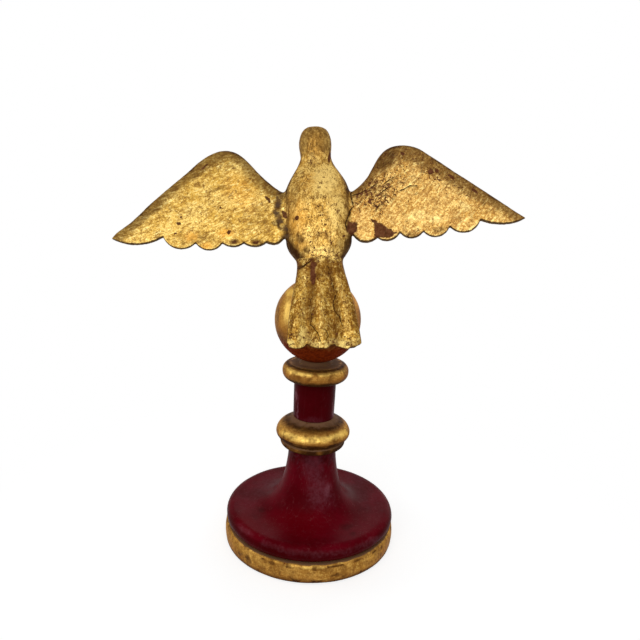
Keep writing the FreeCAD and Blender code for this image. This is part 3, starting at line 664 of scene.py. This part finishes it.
# Name, place, width, height and power of each soft lamp
LAMPS = (
    ("key", (-0.25, -1.9, 1.25), 2.4, 1.5, 18.8),
    ("side", (-1.7, 0.2, 0.7), 0.6, 1.2, 3.0),
    ("far", (0.5, 1.9, 0.8), 2.4, 1.5, 9.0),
)


def make_lamps():
    """Soft lamps behind the camera, at the left and, weaker, on the far side."""
    for name, place, width, height, power in LAMPS:
        data = bpy.data.lights.new(name, "AREA")
        data.shape = "RECTANGLE"
        data.size, data.size_y, data.energy = width, height, power
        lamp = bpy.data.objects.new(name, data)
        lamp.location = place
        lamp.rotation_euler = (Vector(AIM) - Vector(place)).to_track_quat("-Z", "Y").to_euler()
        bpy.context.scene.collection.objects.link(lamp)


# The carved pieces

# Marks below are places in the photograph, in pixels. An oval is its centre, two half sizes and a turn
# in degrees. A row of ovals starts with its mask and its share.

WING_SHADE_WIDTHS = (5.0, 16.0)
WING_DARK_WIDTHS = (0.5, 6.5)
WING_RUB_HIGHLIGHT_WIDTHS = (1.5, 4.0)

# Left wing: the pale rows are painted highlights, the warm rows tone, and the dark rows patina and painted
# shade along the leading edge and root
LEFT_WING_SPOTS = (
    ("pale", 0.34, ((190, 213), 46, 13, -18), ((188, 206), 18, 6, -25)),
    ("pale", 0.38, ((164, 233), 28, 8, -20)),
    ("warm", 0.8, ((191, 237), 10, 7, 0), ((206, 246), 8, 6, 0), ((226, 233), 12, 6, 0)),
    ("warm", 0.3, ((240, 190), 20, 30, -40)),
    ("grime_and_shade", 0.32, ((262, 216), 20, 24, 0), ((196, 240), 36, 14, 0)),
    ("grime_and_shade", 0.6, ((234, 242), 9, 6, 0), ((256, 242), 9, 6, 0), ((215, 160), 26, 8, -30),
     ((198, 172), 30, 8, -34), ((150, 212), 40, 8, -36)),
    ("grime_and_shade", 0.35, ((250, 224), 10, 5, -30), ((232, 226), 9, 3, -20), ((215, 190), 26, 4, -20)),
    ("bole", 1.0, ((178.6, 224.2), 3.4, 2.8, 0), ((181, 216.6), 2.6, 2, 0), ((175.4, 233.8), 3, 2.4, 0),
     ((229.4, 232.4), 2.8, 3.4, 30), ((220.4, 208), 2, 2, 0), ((268.2, 199.8), 6, 2.4, 50)),
    ("bole", 0.6, ((203.4, 167.3), 10, 2.6, -30), ((234.2, 242.4), 6, 4, 0), ((255.8, 242.6), 6, 3.5, 0)),
)

LEFT_ROOT_LINE = (
    (283, 188), (281, 195), (279.0, 201), (277.0, 210.6), (278.5, 219), (280, 224), (286, 231), (286, 238),
)
LEFT_ROOT_SPOTS = (
    ("grime_and_shade", 0.6, ((283, 196), 6, 8, 0), ((274, 223.5), 7, 4, 0)),
    ("bole", 1.0, ((284.6, 214.5), 4, 7, -20)),
)

# Right wing: the pale row is painted highlights, and the dark rows painted shade, mostly by the leading
# edge
RIGHT_WING_SPOTS = (
    ("pale", 0.5, ((415, 216), 20, 11, -10), ((436, 219), 14, 8, 0), ((465, 206), 16, 8, 25)),
    ("crackle", 0.6, ((436, 178), 44, 10, 33)),
    ("crackle", 0.42, ((398, 176), 60, 34, 20), ((420, 232), 50, 8, -8)),
    ("grime_and_shade", 0.74, ((386, 160), 30, 16, -40)),
    ("grime_and_shade", 0.45, ((410, 236), 16, 6, 0), ((440, 230), 14, 6, -15), ((372, 190), 22, 12, -30)),
    ("bole", 1.0, ((430.8, 171.8), 5.4, 3.4, 0), ((437, 170.5), 4, 3, 40), ((451, 177), 6, 2.4, 35),
     ((475, 191), 6, 2.4, 35), ((403, 154), 3.4, 2.4, 0), ((372, 187), 4, 2, -30),
     ((378, 195), 4, 2, -40), ((366, 191), 3, 2, 0)),
)
RIGHT_WING_CRAZED = ((352, 184), (372, 172), (396, 170), (402, 188), (390, 206), (374, 218), (354, 204))
RIGHT_WING_EDGE = ((385, 158), (400, 153), (416, 158), (444, 174), (470, 190), (484, 198))
RIGHT_WING_CLAY = (
    (370.4, 218.6), (375.4, 219.8), (387, 228), (397, 232.8), (391, 237.4), (382.5, 238), (374.5, 236.2),
    (374.2, 225),
)
RIGHT_WING_CRACKS = (
    ((383.9, 183.4), (389, 180), (395.1, 175.9)),
    ((379.8, 193.3), (386, 188), (392, 185.6)),
    ((397, 191.7), (403, 189), (409.4, 185.6), (417.6, 185.6)),
    ((375.7, 211.6), (379, 205), (382, 204), (385.9, 199.4)),
    ((352, 196), (360, 193), (366, 190), (376, 184)),
)

RIGHT_ROOT_CLAY = ((348.6, 221), (357, 223.4), (357, 232.4), (351, 235.4), (346, 230.6))
RIGHT_ROOT_CRACK = (
    (352, 188), (350.4, 194), (351.6, 200), (353.8, 206), (350.6, 211), (348.6, 217), (345.9, 222.4),
    (346.3, 229),
)

# How far under the crown the shades of the flanks, the head and the crown start and end
FLANK_DEPTHS = (44 * MM, 30 * MM)
HEAD_DEPTHS = (36 * MM, 20 * MM)
CROWN_DEPTH = 8 * MM

# Body: the pale rows are painted highlights, the warm rows tone, and most dark rows painted shade at its
# edges and hips
BODY_SPOTS = (
    ("pale", 0.5, ((334, 206), 14, 40, 0), ((324, 170), 12, 8, 0)),
    ("pale", 0.78, ((325, 180), 22, 24, 0)),
    ("pale", 0.6, ((322, 252), 22, 10, 0)),
    ("pale", 0.45, ((314, 160), 14, 10, 0)),
    ("warm", 0.6, ((297, 218), 14, 28, 0), ((300, 246), 10, 10, 0), ((317, 142), 15, 20, 0)),
    ("warm", 0.3, ((308, 182), 12, 16, 0)),
    ("grime_and_shade", 0.4, ((293, 200), 7, 34, 8), ((317, 152), 14, 9, 0)),
    ("grime_and_shade", 0.7, ((300, 238), 6, 10, -28), ((306, 250), 6, 6, 0)),
    ("grime_and_shade", 0.45, ((341, 243), 6, 10, 20)),
    ("grime_and_shade", 0.64, ((311.4, 154.4), 7, 6, 0)),
    ("bole", 1.0, ((297, 218), 3.2, 3.8, 0), ((344, 236), 2.4, 2, 0)),
    ("bole", 0.85, ((329.6, 157), 2.8, 11, 12)),
    ("crackle", 0.8, ((323, 254), 26, 12, 0)),
    ("crackle", 0.42, ((320, 166), 24, 30, 0), ((324, 210), 34, 64, 0)),
)
HIP_SHADES = (
    (0.9, ((283, 236), (288, 237), (293, 243), (301, 252), (308, 261), (298, 264), (290, 254))),
    (0.88, ((357, 236), (349, 236), (345, 239), (342, 249), (339, 260), (345, 262), (352, 247))),
)

FLUTE_VALLEYS = (
    ((312, 258), (312, 285), (310, 310), (308, 348)),
    ((329, 258), (333, 285), (335, 305), (332, 349)),
)
FLUTE_WIDTH = 7.0
LIP_WIDTHS = (1.0, 8.0)
NOTCH_WIDTH = 4.0
TAIL_CHIPS = (((362, 348), 7.0), ((331.6, 349), 4.5), ((308.2, 349), 4.5), ((288, 346), 4.0))

# Tail: the pale row is painted highlights, and the dark rows painted shade at its edges and under the body
TAIL_SPOTS = (
    ("pale", 0.7, ((303, 336), 9, 17, 0), ((316, 345), 14, 5, 8), ((345, 343), 12, 5, -10)),
    ("grime_and_shade", 0.5, ((291, 325), 5, 12, 0), ((294, 290), 4, 34, 8), ((322, 272), 28, 14, 0),
     ((355, 318), 5, 26, -12), ((294, 316), 4, 5, 0), ((296, 334), 6, 5, 0), ((338, 271), 6, 14, -8)),
    ("grime_and_shade", 0.8, ((300, 267), 7, 4, -20)),
)
TAIL_VALLEY_LINES = (
    ((312, 258), (312, 285), (309.5, 300), (310, 318)),
    ((329, 262), (332, 285), (334, 303), (338, 318)),
    ((335, 326), (335, 346)),
)
TAIL_RIDGE_LINES = (
    ((303, 266), (303.5, 300), (303, 346)),
    ((322, 285), (322, 320), (320, 340)),
    ((338, 280), (345, 300), (348, 335)),
)
TAIL_LINE_REACH = 6.5
TAIL_CLAY = ((310.4, 262), (316.6, 262), (315.8, 278), (314.8, 285), (311, 284), (309.8, 275))
TAIL_CRACKS = (
    (0.5, ((310.2, 324.4), (314, 328), (317.9, 332.8), (319.6, 338), (321.4, 343.3))),
    (0.42, ((327.7, 266), (329, 272), (331.9, 281.6), (334, 288), (337.5, 294.9))),
    (0.5, ((335, 296), (333, 304), (334, 311), (338.9, 316), (341, 321), (342.5, 327))),
    (0.32, ((311.6, 296), (309.6, 309), (311, 314), (310.2, 324.4))),
    (0.35, ((322, 328), (326, 331), (328, 336), (326.6, 340))),
)
TAIL_JOINT_CRACK = ((298, 269), (304, 265.8), (309.6, 262.2))

# From where to where the carving is softened beside a joint, and how many times
WING_BLEND, WING_BLEND_ROUNDS = (1.5 * MM, 7 * MM), 30
TAIL_BLEND, TAIL_BLEND_ROUNDS = (2 * MM, 10 * MM), 90


def crease_tones(piece, on=1.0, low=0.04 * MM, high=0.22 * MM, rounds=10):
    """Darker in hollows and paler on ridges, by how far the surface lies below or above its blurred self.
    """
    hollow = piece.hollow(rounds)
    piece.brush("grime_and_shade", step(hollow, low, high) * 0.8 * on)
    piece.brush("pale", step(-hollow, low * 2, high * 1.6) * 0.5 * on)


def near(values, middle, reach):
    """1 where values are at the middle and 0 from the reach on."""
    return fade(np.abs(values - middle), 0, reach)


def lower_edge(bird, places, on):
    """Distance in pixels from each place to the lower edge of a piece."""
    return line_distance(places, outline(bird.pixels[on], lower=True, width=2.0))


def paint_wing(bird, on):
    """What both wings share: a leading edge of patina and painted dark reflection, painted reflection on
    top and shade below, and a trailing edge rubbed pale with a painted highlight.
    """
    upward = bird.normals @ BIRD_UP
    band = line_distance(bird.ragged, outline(bird.pixels[on])) + 2.0 * noise(bird.points, 9 * MM, 13)
    # Patina and a painted dark reflection along the leading edge
    bird.brush("grime_and_shade", fade(band, *WING_SHADE_WIDTHS) * 0.58 * on)
    bird.brush("grime_and_shade", fade(band, *WING_DARK_WIDTHS) * 0.82 * on)
    # A painted dark reflection on the faces that turn up, painted shade on those that turn down, and on
    # those turned forward
    bird.brush("grime_and_shade", step(upward, 0.35, 0.9) * 0.8 * on)
    bird.brush("grime_and_shade", step(-upward, 0.15, 0.50) * 0.84 * on)
    bird.brush("grime_and_shade", step(-bird.normals @ BIRD_BACK, -0.2, 0.6) * 0.22 * on)
    low = lower_edge(bird, bird.ragged, on)
    # The trailing edge rubbed pale, with a painted highlight
    bird.brush("pale", fade(low, *WING_RUB_HIGHLIGHT_WIDTHS) * step(0.4 - upward, 0.1, 0.5) * 0.5 * on)


def paint_left_wing(bird, on):
    """Left wing: a painted highlight along its middle, with small chips down to the clay."""
    paint_wing(bird, on)
    bird.dab(on, LEFT_WING_SPOTS)


def paint_left_root(bird):
    """Broken dark patina over the left wing's joint, and a chip down to the clay."""
    bird.stroke("grime_and_shade", 0.68 + 0.4 * noise(bird.points, 4 * MM, 14), LEFT_ROOT_LINE, 7.0)
    bird.stroke("dust", 0.50 + 0.4 * noise(bird.points, 3 * MM, 15), LEFT_ROOT_LINE, 7.0)
    bird.dab(1.0, LEFT_ROOT_SPOTS)


def paint_right_wing(bird, on):
    """Right wing: finely crazed over its root and edge, with painted highlights and painted shade, a bare
    patch of clay, and short cracks.
    """
    paint_wing(bird, on)
    bird.dab(on, RIGHT_WING_SPOTS)
    crazed = step(patch_depth(bird.pixels, RIGHT_WING_CRAZED), -8, 8)
    bird.brush("crackle", crazed * 0.72 * bird.facing * on)
    # Patina and a painted dark reflection along the leading edge
    bird.stroke("grime_and_shade", on, RIGHT_WING_EDGE, 12.0, 0.55)
    bird.stroke("crackle", on, RIGHT_WING_EDGE, 14.0, 0.5)
    bird.patch("bole", on, RIGHT_WING_CLAY, 5.0)
    for marks in RIGHT_WING_CRACKS:
        bird.crack(on, marks, 0.38)


def paint_right_root(bird):
    """Open crack at the right wing's joint, with bare clay below it."""
    bird.patch("bole", 1.0, RIGHT_ROOT_CLAY, 5.0)
    bird.crack(1.0, RIGHT_ROOT_CRACK, 0.65, 0.5 * MM)


def paint_body(bird, on):
    """Body and head: brushed back with painted highlights, and painted shade on the head, crown, sides and
    belly.
    """
    sideways = np.abs(bird.normals @ BIRD_SIDE)
    # Painted shade on the faces turned away from the back
    bird.brush("grime_and_shade", step(-bird.normals @ BIRD_BACK, -0.45, 0.35) * 0.42 * on)
    height = bird.place[:, 2]
    crown = height[on].max()
    # Painted shade down the flanks, weaker higher up
    flank = step(sideways, 0.38, 0.88) * step(bird.normals @ BIRD_BACK, -0.5, -0.1)
    start, end = (crown - depth for depth in FLANK_DEPTHS)
    bird.brush("grime_and_shade", flank * (0.9 - 0.25 * step(height, start, end)) * on)
    # Painted shade over the head, deeper at the crown
    start, end = (crown - depth for depth in HEAD_DEPTHS)
    bird.brush("grime_and_shade", step(height, start, end) * 0.56 * on)
    bird.brush("grime_and_shade", step(height, crown - CROWN_DEPTH, crown) * 0.8 * on)
    bird.dab(on, BODY_SPOTS)
    for share, corners in HIP_SHADES:
        bird.brush("grime_and_shade", step(patch_depth(bird.ragged, corners), -4.0, 3.5) * share * on)
    # Painted shade under the belly
    bird.brush("grime_and_shade", step(-bird.normals[:, 2], 0.35, 0.7) * on)


def flute_tail(bird, on):
    """Deepen the tail's flutes, thicken its lower edge, and chip and notch that edge."""
    for marks in FLUTE_VALLEYS:
        gap = line_distance(bird.pixels + 0.8 * bird.jitter, marks)
        bird.move(-0.7 * MM * fade(gap, 0, FLUTE_WIDTH) * bird.facing * on)
    low = lower_edge(bird, bird.pixels, on)
    lip = fade(low, *LIP_WIDTHS) * bird.facing * on
    bird.move(lip * (0.35 * MM + 0.55 * MM * rough_noise(bird.points, 4 * MM, 33)))
    for corner, reach in TAIL_CHIPS:
        gap = np.hypot(*(bird.pixels - np.array(corner)).T)
        bird.move(np.outer(fade(gap, 0, reach) * on, BIRD_UP) * 1.8 * MM)
    notches = fade(low, 0, NOTCH_WIDTH) * on * noise(bird.points, 3.4 * MM, 35)
    bird.move(np.outer(notches, BIRD_UP) * 0.7 * MM)


def paint_tail(bird, on):
    """Tail: painted shade in the valleys between its flutes and painted highlights on their ridges, cracks,
    and a thick chipped lower edge, worn pale with a painted highlight.
    """
    crease_tones(bird, 0.6 * on, 0.06 * MM, 0.45 * MM, 30)
    # Painted shade down the valleys and painted highlights down the ridges
    for marks in TAIL_VALLEY_LINES:
        bird.stroke("grime_and_shade", on, marks, TAIL_LINE_REACH, 0.58)
    for marks in TAIL_RIDGE_LINES:
        bird.stroke("pale", on, marks, TAIL_LINE_REACH, 0.34)
    low = lower_edge(bird, bird.ragged, on)
    chips = step(rough_noise(bird.points, 4.5 * MM, 34), -0.4, 0.2)
    # The lower edge worn pale, with a painted highlight
    bird.brush("pale", fade(low, 2.5, 12.0) * (0.42 + 0.85 * chips) * on)
    bird.brush("grime_and_shade", fade(low, 3.0, 10.0) * (1 - chips) * 0.28 * on)
    bird.brush("crackle", fade(low, 10.0, 24.0) * 0.55 * bird.facing * on)
    uneven = bird.place[:, 2] + 3 * MM * noise(bird.points, 5 * MM, 36)
    root = step(uneven, TAIL_JOINT_HEIGHT - 9 * MM, TAIL_JOINT_HEIGHT)
    bird.brush("pale", root * 0.5 * on)
    bird.brush("crackle", (0.42 + 0.4 * root) * on)
    bird.dab(on, TAIL_SPOTS)
    # Painted shade at the sides and underneath
    bird.brush("grime_and_shade", step(np.abs(bird.normals @ BIRD_SIDE), 0.60, 0.95) * 0.7 * on)
    bird.brush("grime_and_shade", step(-bird.normals[:, 2], 0.3, 0.6) * on)
    bird.patch("bole", on, TAIL_CLAY, 4.0, 0.88)
    for width, marks in TAIL_CRACKS:
        bird.crack(on, marks, width)


def bird_leaves():
    """The gilding of each piece of the bird, in the order of their numbers."""
    return (
        ("body", gilding("leaf_body", 88, glint=rgb(255, 218, 130), grain=0.92, streak=1.35)),
        ("left_wing", gilding("leaf_left_wing", 29, bright=rgb(219, 181, 95), deep=rgb(198, 155, 65),
                              grain=0.7, streak=1.25)),
        ("right_wing", gilding("leaf_right_wing", 56, bright=rgb(210, 167, 92), deep=rgb(190, 142, 66),
                               dull=rgb(146, 100, 48), grain=0.82, streak=0.85)),
        ("tail", gilding("leaf_tail", 90, bright=rgb(194, 148, 60), deep=rgb(156, 110, 38),
                         dull=rgb(120, 80, 24), glint=rgb(248, 218, 130),
                         dark_tones=(rgb(112, 72, 24), PATINA_AND_SHADE_DARK), grain=0.7, streak=1.4)),
    )


def carve_bird():
    """Body, wings and tail as one carving, cut again into its pieces at their joints."""
    bird = Carving("bird", ("body", "left_wing", "right_wing", "tail"))
    place = bird_places(bird.points)
    joint = np.abs(np.abs(place[:, 0]) - WING_ROOT)
    bird.soften(fade(joint, *WING_BLEND), WING_BLEND_ROUNDS)
    joint = np.abs(place[:, 2] - TAIL_JOINT_HEIGHT)
    bird.soften(fade(joint, *TAIL_BLEND) * (place[:, 1] < 0), TAIL_BLEND_ROUNDS)
    points = bird.points
    bird.move(0.22 * MM * noise(points, 15 * MM, 11) + 0.08 * MM * rough_noise(points, 4 * MM, 12))
    bird.place = bird_places(bird.points)
    across, back, up = bird.place.T
    high = up > TAIL_JOINT_HEIGHT
    left, right = high & (across < -WING_ROOT), high & (across > WING_ROOT)
    tail = ~high & (back < TAIL_ROOT_FRONT)
    body = ~left & ~right & ~tail
    flute_tail(bird, tail)
    paint_left_wing(bird, left)
    paint_right_wing(bird, right)
    paint_body(bird, body)
    paint_tail(bird, tail)
    paint_left_root(bird)
    paint_right_root(bird)
    bird.crack(1.0, TAIL_JOINT_CRACK, 0.6)
    owner = np.sort(np.select((left, right, tail), (1, 2, 3), 0)[bird.corners], axis=1)[:, 1]
    for number, (node, leaf) in enumerate(bird_leaves()):
        bird.finish(node, leaf, "gilt_wood", owner == number)


# The turned pieces

# Spots, rubs and glints are places in the photograph, in pixels. Heights over the floor and radii are in
# millimetres.

# Painted shade at the ball's edges, and painted reflections at its left and its edge
BALL_SPOTS = (
    ("grime_and_shade", 0.55, ((277, 318), 3.5, 34, 4), ((361, 318), 3.5, 30, -4)),
    ("pale", 0.7, ((288, 312), 7, 22, 4), ((290, 292), 9, 7, -40)),
    ("pale", 0.4, ((276.5, 318), 1.6, 24, 2)),
)

RING_LIP_RADII = (19.5, 23.0)
RING_LIP_DROP = 1.0 * MM
RING_SEAT_RADII = (18.0, 25.0)
RING_TOP_RADIUS, RING_TOP_REACH = 24.0, 5.5
RING_LEFT_GLINT = ((289, 370.5), (296, 373), (304, 374.5), (311, 375))
RING_RIGHT_GLINT = ((320, 375), (330, 374), (338, 372), (344, 369))
# Painted shade at the ring's two ends, and a warm tone at its lower left
RING_SPOTS = (
    ("grime_and_shade", 0.6, ((284.5, 371), 3, 8, 0), ((348, 369), 3, 8, 0)),
    ("warm", 1.0, ((298, 378), 12, 4, 8)),
)

KNOP_HEIGHTS = (99, 102)
KNOP_DUST_RADII = (17.5, 26.0)
KNOP_TOP_RADII = (24.0, 33.0)
KNOP_GROOVE_HEIGHT, KNOP_GROOVE_REACH = 94.9, 3.4
# Painted highlight along the knop's front, and its brightest glint
KNOP_HIGHLIGHT = ((284, 433), (293, 437.5), (303, 439.6), (318, 440.2), (333, 437.6), (346, 431.5))
KNOP_GLINT = ((303, 439.4), (318, 440), (332, 437.6))

SKIRT_RADII, SKIRT_HEIGHTS = (71.2, 72.6), (1.6, 7.0)
SKIRT_DROP = 0.9 * MM
BASE_RIM_HEIGHT, BASE_RIM_REACH, BASE_RIM_RADIUS = 15.0, 2.2, 70
BASE_FOOT_HEIGHTS = (2.0, 7.5)
BASE_SOIL_HEIGHTS = (3.0, 9.0)
# Painted highlight and wear along the rim's front
BASE_SPOTS = (("pale", 0.8, ((310, 572), 60, 12, 0)),)

FOOT_RIM_RADII, FOOT_RIM_HEIGHTS = (68, 72), (26, 30)
FOOT_NECK_HEIGHTS = (62, 84)
FOOT_DUST_HEIGHTS = (58, 74)
# Painted highlight along the foot's rim
FOOT_RIM_HIGHLIGHT = ((264, 543), (285, 550.5), (315, 554.5), (345, 551.5), (366, 544))
# Foot: the pale rows are painted highlights, the dust rows painted sheen over dust, and the warm and grime
# rows tone and blotches
FOOT_SPOTS = (
    ("pale", 0.45, ((327, 490), 6, 14, 10)),
    ("pale", 0.28, ((320, 490), 22, 26, 0), ((372, 540), 14, 6, -25), ((245, 530), 16, 6, 35)),
    ("dust", 0.5, ((313, 467), 18, 26, 0)),
    ("dust", 0.34, ((268, 482), 30, 16, -25), ((355, 478), 24, 14, 25)),
    ("dust", 0.26, ((250, 497), 30, 16, -30), ((372, 500), 26, 24, 35)),
    ("dust", 0.32, ((322, 500), 26, 24, 0)),
    ("warm", 0.8, ((296, 524), 60, 22, 0), ((250, 525), 22, 12, 40)),
    ("grime_and_shade", 0.5, ((346, 527), 10, 5, 0), ((353, 534), 5, 3, 0), ((262, 510), 5, 3, 0)),
)

STEM_TOP_HEIGHTS = (140, 149)
STEM_SPOTS = (
    ("dust", 0.35, ((313, 421), 20, 7, 0)),
    ("pale", 0.45, ((297.5, 412), 1.6, 24, 2), ((296, 395), 2, 10, 0), ((333, 412), 1.6, 24, 2)),
)


def height_and_radius(piece):
    """Height over the floor and distance from the axis of each point, in millimetres."""
    return piece.points[:, 2] / MM, np.hypot(*piece.points[:, :2].T) / MM


class Turning(Carving):
    """A turned and gilt piece: nearly round, with painted shade below and a warm painted reflection under
    its edges.
    """

    def __init__(self, node, warmth):
        super().__init__(node, (node,))
        wobble = 0.10 * MM * noise(self.points, 12 * MM, 41)
        self.move(wobble + 0.03 * MM * rough_noise(self.points, 4 * MM, 42))
        self.rise = self.normals[:, 2] + 0.08 * noise(self.points, 8 * MM, 43)
        self.height, radius = height_and_radius(self)
        self.radius = radius + 0.6 * noise(self.points, 7 * MM, 44)
        self.blotch = noise(self.points, 6 * MM, 45)
        self.fine = rough_noise(self.points, 2.6 * MM, 49, 2)
        # Painted shade on the faces that turn down, and a warm painted reflection on those turned a little
        # down
        self.brush("grime_and_shade", step(-self.rise, 0.0, 0.7))
        self.brush("warm", near(self.rise, -0.20, 0.5) * warmth)

    def dark_tones(self):
        """Blotchy soiling all over."""
        self.brush("grime_and_shade", 0.36 + 0.3 * self.blotch + 0.2 * self.fine)

    def sink(self, where, depth):
        """Lower the surface where the mask says so."""
        self.move(np.outer(where, (0, 0, -depth)))


def paint_ball(piece):
    """Ball: painted shade below, worn to a clay that also stands for a red painted reflection, with painted
    shade at its edges and a pale painted reflection at the left.
    """
    piece.brush("grime_and_shade", step(-piece.rise, -0.10, 0.35) * 0.7)
    # Clay below: partly worn, partly a painted red reflection
    piece.brush("bole", step(-piece.rise, 0.05, 0.75))
    piece.dab(1.0, BALL_SPOTS)


def paint_upper_collar(piece):
    """Ring under the ball: a lowered lip, a dusty seat, a dark top both soiled and painted as a dark
    reflection, painted shade below and at its ends, and two glints at its front.
    """
    rise, radius = piece.rise, piece.radius
    # Painted shade on the faces that turn down
    piece.brush("grime_and_shade", step(-rise, -0.10, 0.55) * 0.85)
    piece.sink(step(-rise, -0.2, 0.6) * step(radius, *RING_LIP_RADII), RING_LIP_DROP)
    piece.brush("dust", fade(radius, *RING_SEAT_RADII) * step(rise, 0.2, 0.6) * (0.95 + 0.3 * piece.fine))
    # Dark top: soiling and a painted dark reflection
    piece.brush("grime_and_shade", near(radius, RING_TOP_RADIUS, RING_TOP_REACH) * step(rise, 0.3, 0.7) * 0.86)
    piece.dark_tones()
    piece.stroke("pale", 1.0, RING_LEFT_GLINT, 3.8, 0.85)
    piece.stroke("pale", 1.0, RING_RIGHT_GLINT, 4.0, 0.65)
    piece.dab(1.0, RING_SPOTS)


def paint_lower_collar(piece):
    """Knop and small ring: a dusty top darkened by soiling and a painted reflection, a painted highlight
    along the front, painted shade below the knop and in the groove between the two, and a darker small
    ring.
    """
    rise, radius = piece.rise, piece.radius
    top = step(piece.height, *KNOP_HEIGHTS)
    piece.brush("dust", fade(radius, *KNOP_DUST_RADII) * top * (0.85 + 0.3 * piece.fine))
    # Soiling and a painted dark reflection round the top
    piece.brush("grime_and_shade", fade(radius, *KNOP_TOP_RADII) * top * 0.86)
    piece.dark_tones()
    # Painted highlight along the front
    piece.stroke("pale", top, KNOP_HIGHLIGHT, 5.5, 0.75)
    piece.stroke("pale", top, KNOP_GLINT, 4.2)
    # Painted shade in the groove and below the knop
    piece.brush("grime_and_shade", near(piece.height, KNOP_GROOVE_HEIGHT, KNOP_GROOVE_REACH) * 0.95)
    piece.brush("grime_and_shade", step(-rise, -0.3, 0.05) * top)
    piece.brush("dust", step(rise, 0.2, 0.55) * (1 - top) * 0.8)
    piece.brush("grime_and_shade", (1 - top) * (0.84 + 0.2 * piece.blotch))


def paint_base_disc(piece):
    """Base: a skirt drawn down round the felt, a dusty ledge, a rim rubbed pale with a painted highlight at
    its front, and a lower band that darkens towards the floor, with dark specks.
    """
    height = piece.height
    piece.sink(step(piece.radius, *SKIRT_RADII) * fade(height, *SKIRT_HEIGHTS), SKIRT_DROP)
    piece.brush("dust", step(piece.rise, 0.75, 0.92) * 0.9)
    piece.brush("grime_and_shade", 0.30 + 0.22 * piece.blotch + 0.2 * piece.fine)
    piece.brush("grime_and_shade", 0.7 * step(rough_noise(piece.points, 7 * MM, 45), 0.3, 0.9))
    rim = near(height, BASE_RIM_HEIGHT, BASE_RIM_REACH) * (piece.radius > BASE_RIM_RADIUS)
    wear = noise(piece.points, 7 * MM, 46)
    # The rim rubbed pale with a painted highlight at its front, and darker elsewhere on the rim
    piece.dab(rim * step(wear, -0.1, 0.2), BASE_SPOTS)
    piece.brush("grime_and_shade", rim * step(-wear, 0.0, 0.3) * 0.8)
    # Darker towards the floor
    piece.brush("grime_and_shade", fade(height, *BASE_FOOT_HEIGHTS) * 0.8)
    dark_tones = step(noise(piece.points, 3 * MM, 48), 0.25, 0.6)
    piece.brush("grime_and_shade", fade(height, *BASE_SOIL_HEIGHTS) * dark_tones * 0.9)
    piece.brush("bole", step(rough_noise(piece.points, 4 * MM, 47), 0.75, 1.25) * 0.7)


# Node, share of the warm painted reflection and painter of each turned and gilt piece
TURNINGS = (
    ("base_disc", 0.3, paint_base_disc),
    ("lower_collar", 0.9, paint_lower_collar),
    ("upper_collar", 0.9, paint_upper_collar),
    ("ball", 0.9, paint_ball),
)


def paint_foot(piece):
    """Foot: scuffed, with a painted highlight along its rim and painted shade below it, painted highlights
    and sheen on its slopes, and a dark dusty neck.
    """
    height, radius = height_and_radius(piece)
    # Painted highlight along the rim, and painted shade below it
    piece.stroke("pale", 1.0, FOOT_RIM_HIGHLIGHT, 6.5, 0.20)
    piece.brush("grime_and_shade", step(radius, *FOOT_RIM_RADII) * fade(height, *FOOT_RIM_HEIGHTS) * 0.8)
    stains = 0.72 + 0.6 * rough_noise(piece.points, 4 * MM, 52)
    piece.brush("grime_and_shade", step(height, *FOOT_NECK_HEIGHTS) * stains)
    flecks = step(rough_noise(piece.points, 2 * MM, 53, 2), 0.0, 0.7)
    piece.brush("dust", step(height, *FOOT_DUST_HEIGHTS) * (0.15 + 0.30 * flecks))
    piece.dab(1.0, FOOT_SPOTS)


def paint_stem(piece):
    """Stem: dark, with pale reflections at its sides and a dusty foot."""
    height = height_and_radius(piece)[0]
    piece.brush("grime_and_shade", 0.80 + 0.20 * step(height, *STEM_TOP_HEIGHTS))
    piece.dab(1.0, STEM_SPOTS)


def carve_turnings():
    """The turned pieces, gilt and red."""
    # The warm colour tints the painted reflection under the turned edges, the glint their painted
    # highlights, the dark pair soiling and painted shade, and the clay also the ball's red painted
    # reflection
    leaf = gilding("leaf_turning", bright=rgb(210, 158, 76), deep=rgb(160, 110, 44), warm=rgb(150, 92, 34),
                   glint=rgb(255, 214, 112), clay=(rgb(124, 42, 6), rgb(90, 22, 3)),
                   dark_tones=(rgb(114, 70, 26), rgb(48, 20, 8)), powder=rgb(124, 90, 66), grain=0.52,
                   streak=0.25)
    for node, warmth, paint in TURNINGS:
        piece = Turning(node, warmth)
        paint(piece)
        piece.finish(node, leaf, "gilt_turning")
    red = lacquer()
    for node, paint in (("flared_foot", paint_foot), ("stem", paint_stem)):
        piece = Carving(node, (node,))
        piece.move(0.12 * MM * noise(piece.points, 14 * MM, 51))
        paint(piece)
        piece.finish(node, red, "red_lacquer")


def carve_legs():
    """The two legs, with their hollows darker and their ridges paler."""
    for node in ("left_leg", "right_leg"):
        leg = Carving(node, (node,))
        crease_tones(leg)
        leg.finish(node, gilding(f"leaf_{node}"), "gilt_wood")


def finish_hidden_pieces():
    """Materials of the felt, dowels, pins and screws, which stay as the CAD made them."""
    finishes = {
        "base_felt": plain_grain("felt", rgb(40, 66, 46), rgb(26, 44, 32), 0.9, 1.0),
        "left_wing_dowels": plain_grain("dowel_wood", rgb(196, 160, 110), rgb(150, 112, 70), 0.6, 0.75),
        "leg_pins": plain_grain("iron", rgb(90, 86, 84), rgb(50, 46, 44), 0.4, 0.6, 1.0),
        "base_screws": plain_grain("steel", rgb(190, 190, 190), rgb(150, 150, 152), 0.3, 0.45, 1.0),
    }
    for name in ("right_wing_dowels", "tail_dowels"):
        finishes[name] = finishes["left_wing_dowels"]
    for name, material in finishes.items():
        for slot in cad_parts[name].material_slots:
            slot.material = material


make_camera()
make_stage()
make_world()
make_lamps()
carve_bird()
carve_legs()
carve_turnings()
finish_hidden_pieces()

bpy.context.scene.view_settings.view_transform = "Standard"
